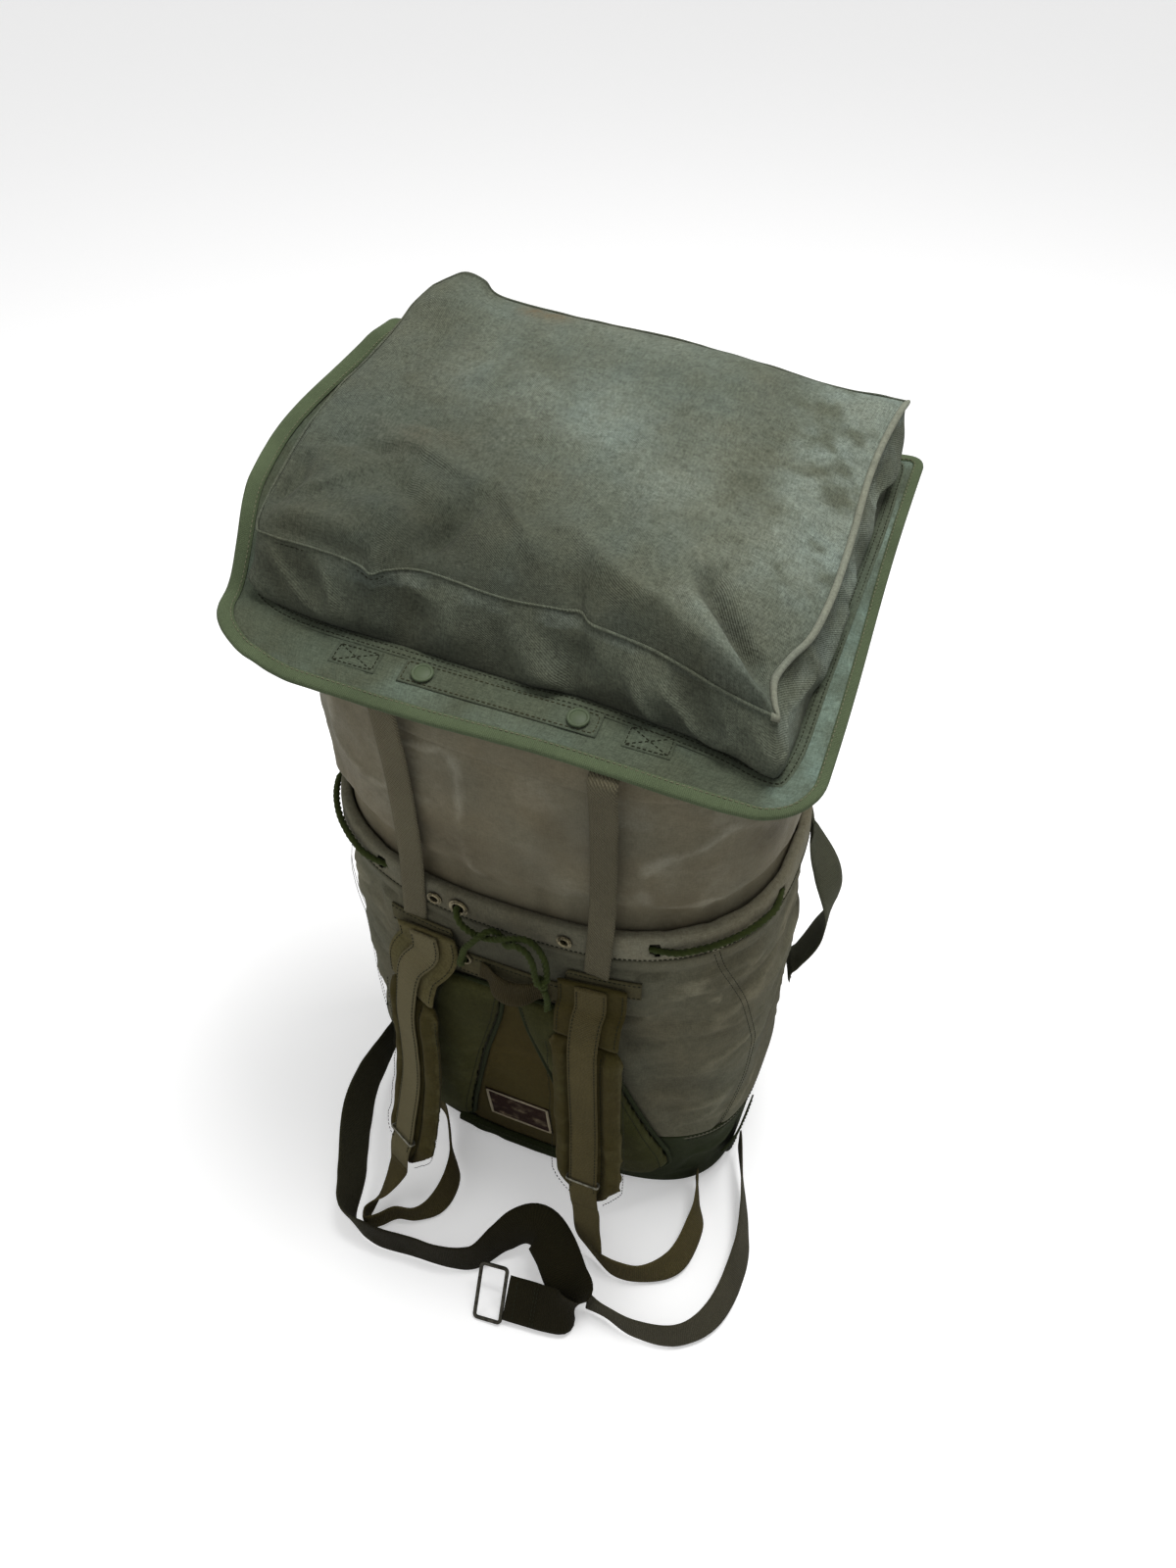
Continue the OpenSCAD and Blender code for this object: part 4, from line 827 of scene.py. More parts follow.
def harness(grid):
    """0 where straps, wings and yoke lie on the near face, 1 where the cloth is free."""
    x, y, z = np.abs(grid[..., 0]), grid[..., 1], grid[..., 2]
    wide = np.interp(z, [0, 60, 100, 190, 292, 300, 344, 350], [112, 140, 136, 106, 66, 112, 112, 0])
    return 1 - smooth((wide - x) / 14 + 1) * (y < 0)


def wrinkled(grid, amount, along, across, seed, free, lump=1.0):
    """Pushes cloth inward into folds that run round it, and gives how near each point is to a fold's crest."""
    q = np.stack([grid[..., 0] / along, grid[..., 1] / along, arc(grid, 0) / across], -1)
    q = q + 0.35 * np.stack([noise(q * 0.9, seed + k) for k in (11, 12, 13)], -1)
    fold = crease(q, seed, 2.2) * 0.65 + 0.35 * (0.5 + 0.5 * fbm(q * 2.3, seed + 3, 3))
    big = 0.5 + 0.5 * fbm(q * 0.35, seed + 5, 2)
    depth = -(amount * (1 - fold) + lump * amount * big) * free
    return grid + normals(grid, True) * depth[..., None], fold * free


def line_dent(grid, points, depth, width):
    """Draws cloth in along a sewn line through points."""
    best = np.full(grid.shape[:2], 1e9)
    for p in even(points, 3.0):
        best = np.minimum(best, np.sum((grid - p) ** 2, -1))
    return grid - normals(grid, True) * (depth * np.exp(-best / (2 * width * width)))[..., None]


def seam_line(s):
    """The side seam of the lower bag, which swings forward above the boot."""
    z = np.linspace(112, 376, 90)
    t = np.radians(np.interp(z, [112, 137, 180, 229, 300, 355, 376], [-31, -26.3, -20, -18.4, -28, -38.7, -41.0]))
    for _ in range(6):
        t[1:-1] = (t[:-2] + 2 * t[1:-1] + t[2:]) / 4
    return bag(z, 0.0, t if s > 0 else math.pi - t)


lower_z = np.linspace(104, 379, 66)
lower = np.stack([bag(z, 0.8 * smooth((116 - z) / 8), T) for z in lower_z])
free = harness(lower) * smooth((lower[..., 2] - 112) / 14) * smooth((379 - lower_z) / 26)[:, None]
lower, crest = wrinkled(lower, 6.0, 64, 19, 5, free, 0.5)
for s in (1, -1):
    lower = line_dent(lower, seam_line(s), 2.2, 3.0)
low_piece = skin("lower_bag_canvas", lower, 1.5, True, look=body_cloth)
shade_with(low_piece, "fade", smooth((crest - 0.62) / 0.22) * (0.45 + 0.5 * fbm(lower / 40, 6, 3)), 1)
# Painted shade on the near face behind the back panel and wings, between the shoulder straps, and in the hollows of
# the folds, with random darker tone.
shade_with(low_piece, "dark", 0.75 * (1 - smooth((np.abs(lower[..., 0] - 5) - 70) / 50)) * (lower[..., 1] < 0)
           + 0.3 * np.maximum(0, fbm(lower / 70, 7, 3)) + 0.35 * smooth((0.4 - crest) / 0.3) * free, 1)
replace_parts(low_piece, "lower_bag")

BOOT_ROUND, BOOT_TOP = 8.0, 111.5
boot_rows = [(k, 0.02, BOOT_ROUND) for k in (0.002, 0.3, 0.6, 0.85, 0.97)]
boot_rows += [(1.0, BOOT_ROUND * (1 - math.cos(a)), BOOT_ROUND * (1 - math.sin(a)))
              for a in np.linspace(0, math.pi / 2, 7)]
boot_rows += [(1.0, z, 0.0) for z in np.linspace(11, BOOT_TOP, 30)]
boot = np.array([bag(z, inset, T) * [k, k, 1] for k, z, inset in boot_rows])
free = harness(boot) * smooth((boot[..., 2] - 8) / 20) * smooth((111 - boot[..., 2]) / 12)
boot, crest = wrinkled(boot, 3.6, 60, 26, 9, free, 0.8)
boot_piece = skin("base_boot_canvas", boot, 1.6, True, look=boot_cloth)
shade_with(boot_piece, "fade", 0.28 * smooth((crest - 0.66) / 0.2), 1)
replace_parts(boot_piece, "base_boot", *[n for n in ("base_panel",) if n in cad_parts])

# Hem tunnel: one cloth folded over the cord, with slits where the cord leaves it; rows are (inset, height)
fold = [(0.9, 378.2), (0.45, 380), (0.1, 384), (0, 388), (0, 393), (0.15, 398), (0.5, 401.5), (1.5, 403.6),
        (3.2, 404.2), (5.8, 404.2), (7.6, 403.4), (8.7, 401), (9.1, 396), (9.2, 388), (9.0, 380)]
hem = np.stack([bag(z, inset, T) for inset, z in fold])
pucker = noise(hem / [9, 9, 40], 21)
near_cord = (np.abs(hem[..., 0]) < 90) & (hem[..., 1] < 0)
hem = hem - normals(hem, True) * (np.maximum(0, pucker) * np.where(near_cord, 0.25, 1.1))[..., None]
eyelet_z = CORD_Z - HEM_DIP
holes = [(near(x, eyelet_z, 0), r) for x, r in ((-61, 4.1), (46, 4.1), (-40, 5.6))]
holes += [(bag(CORD_Z, 0.0, math.radians(deg)), 5.4) for deg in (-60.5, -11.5, -119.5, -168.5)]
hem_piece = skin("hem_tunnel_canvas", hem, 1.1, True, holes, look=hem_cloth)
shade_with(hem_piece, "fade", 0.85 * smooth((hem[..., 0] - 56) / 40), 1)
# Painted shade, with some dirt, in the middle of the near side between the shoulder straps.
shade_with(hem_piece, "dark", 0.42 * (1 - smooth((np.abs(hem[..., 0]) - 55) / 40)) * (hem[..., 1] < 0), 1)
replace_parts(hem_piece, "hem_tunnel")


# Collar of coated cloth, gathered above the hem
def collar_ring(share, extra=0.0):
    guess = mix(TUNNEL_Z, LID_H, share)
    x, y = section(guess, 10.0 * (1 - smooth((guess - HEM_H - 4) / 30)) + extra, T)
    return np.stack([x, y, mix(TUNNEL_Z - sag(TUNNEL_Z, T), lid_plane_z(x, y), share)], -1)


shares = np.concatenate([np.linspace(0, 0.26, 14), np.linspace(0.28, 1, 40)])
collar = np.stack([collar_ring(s) for s in shares])
free = smooth((shares - 0.13) / 0.12)[:, None] * (1 - 0.75 * smooth((shares - 0.93) / 0.07))[:, None]
collar, crest = wrinkled(collar, 4.6, 60, 78, 31, free * np.ones(COLS))
gather = bump(shares, 0.22, 0.2)[:, None] * np.maximum(0, noise(collar / [13, 13, 120], 33)) * 3.4
collar = collar - normals(collar, True) * gather[..., None]
collar_piece = skin("extension_collar_cloth", collar, 1.3, True, look=coated)
shade_with(collar_piece, "fade", np.maximum(0, fbm(collar / 30, 35) - 0.2) * 0.4
           + 0.7 * smooth((crest - 0.66) / 0.18), 1)
# Random grime patches, and painted shade in the band where the collar comes out of the hem.
shade_with(collar_piece, "grime", 0.55 * np.maximum(0, fbm(collar / 60, 37, 3))
           + 0.35 * (1 - smooth((shares - 0.14) / 0.1))[:, None], 1)
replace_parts(collar_piece, "extension_collar")
inner_hem = np.array([collar_ring(s, 2.2) for s in np.linspace(0.86, 0.996, 9)])[:, ::-1]
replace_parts(skin("collar_inner_hem", inner_hem, 1.0, True, look=coated), "collar_hem")

# ---- Near face: back panel, wings, binding, label, yoke ------------------
# The wing's sides: (share of its height, inner x, outer x)
WING = np.array([(0, 66, 100), (0.04, 60, 120), (0.11, 57, 131), (0.205, 52, 129), (0.36, 43, 116), (0.6, 29, 96),
                 (0.835, 12, 76), (1, 5, 58)])


def wing_sides(z):
    k = (np.asarray(z, float) - WING_LOW) / (WING_TOP - WING_LOW)
    return np.interp(k, WING[:, 0], WING[:, 1]), np.interp(k, WING[:, 0], WING[:, 2])


z = np.linspace(26.6, 291, 70)[:, None]
half = np.where(z < WING_LOW, np.interp(z, [26.3, WING_LOW], [58, 64.5]), wing_sides(z)[0] - 1.6)
x = half * np.linspace(-1, 1, 34)
panel_grid = near(x, z, 1.75 + 0.35 * noise(xyz(x / 22, z / 15), 41))
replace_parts(skin("back_panel_canvas", panel_grid, 1.2, look=panel_cloth), "back_panel")

z = np.linspace(8.0, 31.0, 15)[:, None]
x = (79.5 - 0.1 * np.abs(z - 19)) * np.linspace(-1, 1, 60)
roll = 6.4 * (1 - (np.abs(z - 19.5) / 12) ** 2.4) - 1.3 * bump(z, 23.0, 1.2)
binding = near(x, z, 2.6 + roll + 0.7 * noise(xyz(x / 14, 0, z / 8), 42))
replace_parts(skin("bottom_edge_binding", binding, 1.9, look=boot_cloth), "bottom_binding")
hem_row = near(np.linspace(-77, 77, 80), 27.0, 7.3)
sew("bag", thread, hem_row, face_out(hem_row))

WING_EDGE, WING_FULL = 4.6, 7.4                            # thickness at the seam, and what the filling adds


def wing_fill(across, k):
    """How full a wing is, at a share of its width and height."""
    return (1 - np.abs(2 * across - 1) ** 3.2) * (1 - np.abs(2 * k - 1) ** 7)


def wing_piece(s, word):
    z, u = np.linspace(WING_LOW, WING_TOP, 56), np.linspace(0, 1, 26)
    inner_x, outer_x = wing_sides(z)
    k = (z - WING_LOW) / (WING_TOP - WING_LOW)
    fill = wing_fill(u[None], k[:, None])
    x = inner_x[:, None] + (outer_x - inner_x)[:, None] * u
    q = xyz(x / 26, z[:, None] / 34, s * 3.7)
    off = WING_EDGE + WING_FULL * fill ** 0.7 + 1.3 * (crease(q, 51, 2.5) - 0.45) * fill
    off = off + 0.4 * noise(q * 3.1, 52) * fill
    edge = smooth(1 - np.minimum(np.minimum(u, 1 - u) * 6, 12 * np.minimum(k, 1 - k)[:, None]))
    wear = np.maximum(0, fbm(q * 1.4, 53, 3)) * 0.5 + 0.25 * edge
    if s < 0:
        x, off, wear = -x[:, ::-1], off[:, ::-1], wear[:, ::-1]
    zz = z[:, None] + 0 * x
    piece = slab("wing_pad_" + word, near(x, zz, np.minimum(off, 12.6)), near(x, zz, 0.7), look=wing_cloth)
    shade_with(piece, "fade", wear)
    # Painted shade towards the top and the outer edges, under the shoulder straps that lie in front of the wing.
    shade_with(piece, "dark", 0.55 * smooth((zz - 190) / 70) + 0.35 * smooth((np.abs(x) - 62) / 40), 1)
    inflate(piece, 2.4, [X, Z], 0.3, 3.6)
    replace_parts(piece, "wing_cover_" + word, "wing_foam_" + word)
    # piping round the free edges
    loop_z, loop_x = np.concatenate([z[::2], z[::-2]]), np.concatenate([outer_x[::2], inner_x[::-2]]) * s
    tube("wing_pad_%s_piping" % word, closed(even(closed(near(loop_x, loop_z, 3.4)), 4.0)[:-1]), 2.0, 8,
         look=boot_cloth)
    for share in (0.09, 0.91):
        seam = near(s * (inner_x + (outer_x - inner_x) * share), z,
                    WING_EDGE + WING_FULL * wing_fill(share, k) ** 0.7 + 0.5)[2:-2]
        out = face_out(seam)
        sew("bag", dark_thread, onto(piece, seam, out) + out * 0.2, out)


wing_piece(1, "right")
wing_piece(-1, "left")

LABEL_X, LABEL_Z, LABEL_W, LABEL_H, LABEL_RIM = -9.0, 89.0, 62.0, 50.0, 1.6
lx, lz = np.meshgrid(np.linspace(-0.5, 0.5, 26) * LABEL_W, np.linspace(-0.5, 0.5, 20) * LABEL_H)
label_grid = near(LABEL_X + lx, LABEL_Z + lz, 3.0 + 0.3 * noise(xyz(lx / 14, lz / 12), 61))
label = skin("label_patch_blank", label_grid, 0.8, look=label_cloth)
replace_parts(label, "label_patch")
shade_with(label, "fade", np.maximum(0, fbm(label_grid / 7, 62) - 0.1) * 0.55, 1)
rim = even([(LABEL_X + sx * (LABEL_W / 2 - LABEL_RIM), 0, LABEL_Z + sz * (LABEL_H / 2 - LABEL_RIM))
            for sx, sz in ((-1, -1), (1, -1), (1, 1), (-1, 1), (-1, -1))], 3.0)[:-1]
label_line = near(rim[:, 0], rim[:, 2], 3.1)
sweep("label_border", label_line, unit([LABEL_X, 0, LABEL_Z] - rim), face_out(label_line),
      [(-1.2, -0.2), (1.4, -0.2), (1.4, 0.5), (0.6, 0.7), (-0.8, 0.7), (-1.4, 0.3)], look=label_edge)

yoke_x = np.concatenate([np.linspace(-105, -49.4, 24), np.linspace(-49, -43, 9), np.linspace(-42, 42, 36),
                         np.linspace(43, 49, 9), np.linspace(49.4, 105, 24)])
yoke_ends = smooth((np.abs(yoke_x) - YOKE_STEP + 3) / 6)


def yoke_z(v):
    return mix(mix(YOKE_MID_LOW, YOKE_MID_HIGH, v), YOKE_H - YOKE_TAB * (1 - v), yoke_ends)


v = np.linspace(0, 1, 12)[:, None]
yoke_grid = near(yoke_x, yoke_z(v), 2.6 + 0.3 * noise(xyz(yoke_x / 16, yoke_z(v) / 13), 71)
                 - 0.6 * np.abs(2 * v - 1) ** 6)
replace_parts(skin("yoke_canvas", yoke_grid, 1.8, holes=[(near(-38, YOKE_H - 26, 2.6), 5.2)], look=yoke_cloth),
            "yoke_band")
for v in (0.12, 0.88):
    row = near(yoke_x, yoke_z(v), 2.6)
    sew("bag", dark_thread, row, face_out(row))

# ---- Seams of the bag ----------------------------------------------------
for s in (1, -1):
    line = seam_line(s)
    ang = np.arctan2(line[:, 1], line[:, 0])
    out = xyz(np.cos(ang), np.sin(ang))
    for gap in (-2.2, 2.6):
        sew("bag", dark_thread, line + xyz(-np.sin(ang), np.cos(ang)) * gap * s - out * 1.1, out, radius=0.3)
ring_t = np.append(T[::3], T[0] + TAU)
for z in (108.0, 102.5):
    ring = bag(z, 0.0, ring_t)
    seen = ring[(ring[:, 1] > 0) | (np.abs(ring[:, 0]) > 138)]
    for part in np.split(seen, np.where(np.linalg.norm(np.diff(seen, axis=0), axis=1) > 40)[0] + 1):
        out = unit(part * [1, 1, 0])
        sew("bag", dark_thread, part - out * 0.5, out)
ring = bag(380.6, 0.2, ring_t)
sew("bag", dark_thread, ring, unit(ring * [1, 1, 0]))

# ---- Straps fixed to the bag ---------------------------------------------
LOOP_HIGH = HEM_H - 38
LOOP_LOW = LOOP_HIGH - 178
LOOP_MID = (LOOP_LOW + LOOP_HIGH) / 2


def loop_width(s, z):
    w = unit(side_wall(s, 74, z, 0) - side_wall(s, 46, z, 0))
    return w if w[1] > 0 else -w


for s, word in SIDES:
    places = [(side_wall(s, 60, z, off), unit(loop_width(s, z) + twist * np.array([0.85 * s, -0.1, 0.5])))
              for z, off, twist in ((LOOP_HIGH + 14, 1.7, 0), (LOOP_HIGH, 1.7, 0), (LOOP_HIGH - 14, 6, 0.35),
                                    (LOOP_MID + 38, 20.25, 0.9), (LOOP_MID, 27, 0.55), (LOOP_MID - 40, 18.9, -0.1),
                                    (LOOP_LOW + 12, 7, 0), (LOOP_LOW, 1.7, 0), (LOOP_LOW - 14, 1.7, 0))]
    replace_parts(webbing("side_loop_" + word, places, 28, steps=6, wave=0.4, seed=3 + s, look=web_loop),
                "side_loop_" + word)
    for z0, z1 in ((LOOP_HIGH + 1, LOOP_HIGH + 12), (LOOP_LOW - 12, LOOP_LOW - 1)):
        w = unit(side_wall(s, 74, z0, 0) - side_wall(s, 46, z0, 0))
        a, b, out = side_wall(s, 60, z0, 2.9), side_wall(s, 60, z1, 2.9), np.cross(w, [0, 0, 1.0])
        out = out if out[0] * s > 0 else -out
        for at in (a, b):
            sew("bag", dark_thread, [at - 11 * w, at + 11 * w], out)
        for side in (-11, 11):
            sew("bag", dark_thread, [a + side * w, b - side * w], out)

for s, word in SIDES:
    x = s * 76.0
    top = lid([x, 0, -8])
    strap = webbing("lid_strap_" + word, [
        (near(x - 5, YOKE_H + 1.5, 2.0), X), (near(x - 2.5, HEM_H - 25, 2.2), X), (near(x, HEM_H + 20, 2.4), X),
        ([x + 2.5, -face_y(x, HEM_H + 90) - 4, HEM_H + 90], X), ([x + 5, LID_AT[1] + 3.5, top[2] - 22], X),
        ([x + 5, LID_AT[1] + 1.4, top[2] + 0.5], X), (lid([x + 5, 5.5, -2.6]), LID_X), (lid([x + 5, 14, -1.5]), LID_X),
        (lid([x + 5, 43, -1.5]), LID_X)], 20, 2.0, wave=0.3, seed=8 + s, body=None, look=web_lid)
    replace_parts(strap, "lid_strap_" + word)
    if s < 0:
        all_over(strap, "fade", 0.3)
    else:
        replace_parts(strap, "lid_web_ends")
    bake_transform(strap)

# Grab handle, folded double in the middle: (x, drop, distance off, width direction) from its end to its middle
handle_z, handle_x, off = YOKE_MID_HIGH - 11, 4.0, 2 + 1.2 + 1.1
halves = [(28, 0, 0, Z), (21, 1, 1, Z), (12, 2, 8, [0, 0.3, 0.95]), (0, 3, 10.5, [0, 0.4, 0.9])]
places = [(near(handle_x - dx, handle_z - dz, off + lift), w) for dx, dz, lift, w in halves]
places += [(near(handle_x + dx, handle_z - dz, off + lift), w) for dx, dz, lift, w in halves[-2::-1]]
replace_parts(webbing("grab_handle_webbing", places, 21, 2.1, steps=6, wave=0.3, seed=5, step=2.0, body="grab_handle",
                    look=web_handle), "grab_handle")

# ---- Lower webbings and belt: stations are (x, y past the near face or the base, z, width direction) -----
EDGE, TAIL_EDGE, BELT_EDGE = 12.8, 12.9, 20.4              # half widths, with the webbing on its edge on the floor
RIGHT_END, LEFT_END = np.array([78.5, -(FY + 50), 80]), np.array([-98.5, -(FY + 63.5), 57])
DROP = [0, 0, 0.2]


def past(y, stations):
    """Stations whose y is counted from y."""
    return [([x, y + dy, z], w) for x, dy, z, w in stations]


lower_right = webbing("lower_webbing_right_side", [(RIGHT_END - DROP, X)] + past(-FY, [
    (80, -50, 68, [1, 0, 0.1]), (83, -54, 38, [0.9, 0, 0.5]), (92, -58, EDGE + 2, [0.3, -0.2, 1]),
    (112, -64, EDGE, [0, 0.1, 1]), (137, -59, EDGE, [-0.2, 0.1, 1]), (BX - 9, -36, EDGE - 1.5, [-0.6, 0.2, 0.8])])
    + past(-BY, [(BX - 4, -22, EDGE - 1, [-0.6, 0, 0.8]), (BX - 10, 2, EDGE + 2, [-0.2, 0, 1])])
    + [(near(BX - 18, EDGE + 4, 2.2), Z)], 25, wave=0.3, seed=12, body=None, look=web_pad)
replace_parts(lower_right, "lower_webbing_right")
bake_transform(lower_right)

lean = [-0.45, 0, 0.85]
lower_left = webbing("lower_webbing_left_side", [(LEFT_END - DROP, [0.906, -0.423, 0])] + past(-FY, [
    (-101, -66, 44, [0.9, -0.4, 0.3]), (-110, -82, 22, [0.5, -0.3, 0.8]), (-117, -100, EDGE, Z),
    (-113, -111, EDGE, Z), (-103, -104, EDGE, Z), (-92, -92, EDGE, Z), (-74, -86, EDGE, Z),
    (-61, -66, EDGE - 1, lean), (-62, -36, EDGE - 1, lean), (-78, -10, EDGE, Z)])
    + [(near(-96, EDGE + 4, 8.5), Z), (near(-112, EDGE + 5, 3.3), Z)], 25, wave=0.3, seed=13, body=None, look=web_pad)
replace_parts(lower_left, "lower_webbing_left")
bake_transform(lower_left)

ANCHOR_Z = 24.0


def belt_root(s):
    """The belt's first two stations, beside its patch."""
    root = np.array([s * (half_w(ANCHOR_Z) * 0.985 + 8.1), -BY * 0.33, ANCHOR_Z])
    return [(root, Z), (root + [5 * s, -14, 0], Z)]


fold_w = [-0.1, 0.69, 0.72]
buckle_half = webbing("belt_buckle_half_webbing", belt_root(-1) + past(-BY, [
    (-BX - 14, -6, 22, [-0.35, 0, 0.9]), (-BX - 4, -46, BELT_EDGE - 2, [-0.6, 0, 0.8]),
    (-149, -96, BELT_EDGE - 2, [-0.5, -0.1, 0.85]), (-131, -134, BELT_EDGE, [-0.2, -0.2, 1]),
    (-100, -144, BELT_EDGE, Z), (-62, -141, BELT_EDGE, Z), (-26, -137, BELT_EDGE, Z), (-4, -128, 22, [0, 0.1, 1]),
    (12, -109, 32, [0, 0.3, 1]), (27, -96, 42, [0.3, 0.5, 0.8]), (44, -92, 46, [0.6, 0.5, 0.4]),
    (62, -102, 41, [0.9, 0.35, 0.1]), (78, -116, 29, [0.85, 0.42, 0.2]), (89, -123, 23, [0.6, 0.5, 0.6]),
    (94, -133, 20, [0.3, 0.5, 0.8]), (88, -142, 19, [0.05, 0.55, 0.83]), (74, -144, 17, [-0.1, 0.66, 0.74]),
    (56, -146, 17, fold_w), (36, -148, 17, fold_w)]), 40, 2.3, wave=0.7, seed=14, cols=15, body="belt_left",
    look=web_belt)
belt_x = read(buckle_half.data.vertices, "co", 3)[:, 0] / MM
attribute(buckle_half, "fade", 0.85 * smooth((-belt_x - 96) / 50))
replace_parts(buckle_half, "belt_buckle_half")
for dx in (8, 24, 26.5):
    row = np.array([36 + dx, -BY - 149.1 + dx * 0.1, 18.0]) + unit(fold_w) * np.linspace(-17, 17, 14)[:, None]
    sew("belt_left", dark_thread, row, [0, -0.72, 0.69])

tail_half = webbing("belt_tail_half_webbing", belt_root(1) + past(-BY, [
    (BX + 36, -2, TAIL_EDGE, [-0.4, 0, 0.9]), (BX + 43, -44, TAIL_EDGE - 1.5, [-0.66, 0, 0.75]),
    (BX + 37, -90, TAIL_EDGE - 1.5, [-0.6, 0.2, 0.75]), (BX + 15, -120, TAIL_EDGE, [-0.2, 0.3, 0.9]),
    (BX - 20, -129, TAIL_EDGE, [0, 0.2, 1]), (BX - 51, -125, TAIL_EDGE, Z), (BX - 68, -122, TAIL_EDGE, [0, 0.2, 1])]),
    25, wave=0.4, seed=15, body="belt_right", look=web_tail)
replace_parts(tail_half, "belt_tail_half")

# Triangular patches that hold the belt
for s, word in SIDES:
    grid = []
    for z in np.linspace(4.2, 45.8, 16):
        reach_y = np.interp(z, [4, ANCHOR_Z, 46], [6, 20, 34])
        grid.append([side_wall(s, -BY * 0.3 + s * y, z, 2.9 + 0.15 * math.sin(y * 0.6 + z))
                     for y in np.linspace(-reach_y, reach_y, 16)])
    patch = skin("belt_anchor_patch_" + word, np.array(grid), 1.5, look=boot_cloth)
    for z, reach_y in ((8, 7), (43, 30)):
        row = np.array([side_wall(s, -BY * 0.3 + s * y, z, 3.1) for y in np.linspace(-reach_y, reach_y, 12)])
        sew("bag", dark_thread, row, [s, 0, 0])
    if s < 0:
        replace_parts(patch, "belt_anchors")

# ---- Shoulder straps: rows are (x, y before the near face, z) ------------
PAD_T, PAD_HALF, STRAP_X, STRAP_HIGH, TOP_T, STRAP_OFF = 13.0, 34.0, 69.5, YOKE_H - 6, 4.0, 2 + 0.9 + 1.3
RIGHT_ROWS = [(68, 16, 274), (69, 17.5, 252), (70, 20, 215), (72, 24, 175), (75, 30, 140), (76, 34.5, 114),
              (77, 37.5, 98), (78, 40, 86), (79, 43.5, 67)]
LEFT_ROWS = [(-85, 15, 262), (-85, 18, 238), (-83, 23, 205), (-83, 29, 165), (-86, 38, 120), (-89, 45, 92),
             (-92, 50, 76), (-94, 54, 64), (-96, 59, 44)]
RIDGE_AT, HEM_AT = 0.41, 0.93                              # the sewn lines, as shares of a pad's half width


def ahead_of(across):
    """The direction that a strap faces, from the direction of its width."""
    return unit(np.array([across[1], -across[0], 0]))


def pad_piece(rows, across, word, seed):
    body, out = "shoulder_strap_" + word, ahead_of(across)
    line = even(spline([(x, -(FY + y), z) for x, y, z in rows], 10), 3.2)
    height, low, high = line[:, 2], rows[-1][2], rows[0][2]
    # full width soon after the top, and a narrow lower end
    half = PAD_HALF * np.interp(height, [low, low + 34, high - 8, high], [0.2, 1, 1, 0.92])
    thick = PAD_T / 2 * np.interp(height, [low, low + 14, low + 34, high - 12, high], [0.32, 0.5, 1, 1, 0.62])
    u = np.linspace(-1, 1, 41)
    ridge = 0.45 + 0.8 * np.sqrt(bump(np.abs(u), 0.66, 0.3))
    face = np.where(np.abs(u) > RIDGE_AT, ridge, 0.93 - 0.42 * bump(np.abs(u), RIDGE_AT, 0.11))
    face = np.where(np.abs(u) > 0.9, 0.22, face)
    for _ in range(2):
        face[1:-1] = (face[:-2] + 2 * face[1:-1] + face[2:]) / 4
    back = -0.85 * (1 - np.abs(u) ** 6) - 0.12
    q = xyz(height[:, None] / 13, np.outer(half, u) / 20, seed)
    pinch = 0.6 * noise(q, seed) * (np.abs(u) > 0.3)
    frill = 0.75 * noise(q * [2.6, 0, 1], seed + 1) * smooth((np.abs(u) - 0.8) / 0.2)
    flat = line[:, None] + (half[:, None] * u + frill * 0.8 * np.sign(u))[..., None] * across
    front = flat + (thick[:, None] * face + pinch * 0.8 + frill)[..., None] * out
    rear = flat + (thick[:, None] * back + frill)[..., None] * out
    pad = slab("shoulder_pad_" + word, front[::-1], rear[::-1], body=body, look=pad_cloth)
    shade_with(pad, "fade", (np.maximum(0, fbm(q * 1.2, seed + 4, 3)) * 0.25 + 0.3 * (np.abs(u) > 0.88))[::-1])
    inflate(pad, 1.8, [across, Z], 0.9)

    def channels(co):
        """The sewn lines beside the webbing and along the edges, pressed into the filled pad."""
        away = co[:, :2] - follow(line[::-1, :2], height[::-1], co[:, 2])
        wide = np.interp(co[:, 2], height[::-1], half[::-1])
        side, ahead = np.abs(away @ across[:2]), smooth((away @ out[:2] + 1) / 3)
        deep = 2.2 * np.exp(-((side - RIDGE_AT * wide) / 2.4) ** 2) + 1.3 * np.exp(-((side - 0.9 * wide) / 1.8) ** 2)
        return -(deep * ahead)[:, None] * out

    press(pad, channels)
    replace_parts(pad, "pad_cover_" + word, "pad_foam_" + word)
    for at in (-HEM_AT, -RIDGE_AT, RIDGE_AT, HEM_AT):
        i = int(np.argmin(np.abs(u - at)))
        sew(body, dark_thread, onto(pad, front[3:-3, i], out) + 0.1 * out, out, lift=0.3)


def top_stations(s, rows, across, lift):
    """From the yoke down to the pad's top."""
    x, z = s * STRAP_X, YOKE_H - YOKE_TAB / 2
    at_yoke = unit(near(x + 27, z, 0) - near(x - 27, z, 0))
    first = near(x, STRAP_HIGH, STRAP_OFF + TOP_T / 2)
    last = np.array([rows[0][0], -(FY + rows[0][1]), rows[0][2] + 3.0])
    turns = [at_yoke, at_yoke, mix(at_yoke, across, 0.5), across]
    places = [first, first + [0, -1.2, -22], mix(first, last, 0.6) + [0.22 * (last[0] - first[0]), 0, 0], last]
    return [(p + lift * ahead_of(w), unit(w)) for p, w in zip(places, turns)]


def sew_edges(body, stations, at, lift, cut):
    """Stitches along both edges of a strap, on its outer face, up to its last rows."""
    p, t, w, n = strip_frames(stations, 8)
    n = -n if n[0][1] > 0 else n
    for e in (-at, at):
        sew(body, dark_thread, (p + e * w + n * lift)[1:-cut], n[1:-cut])


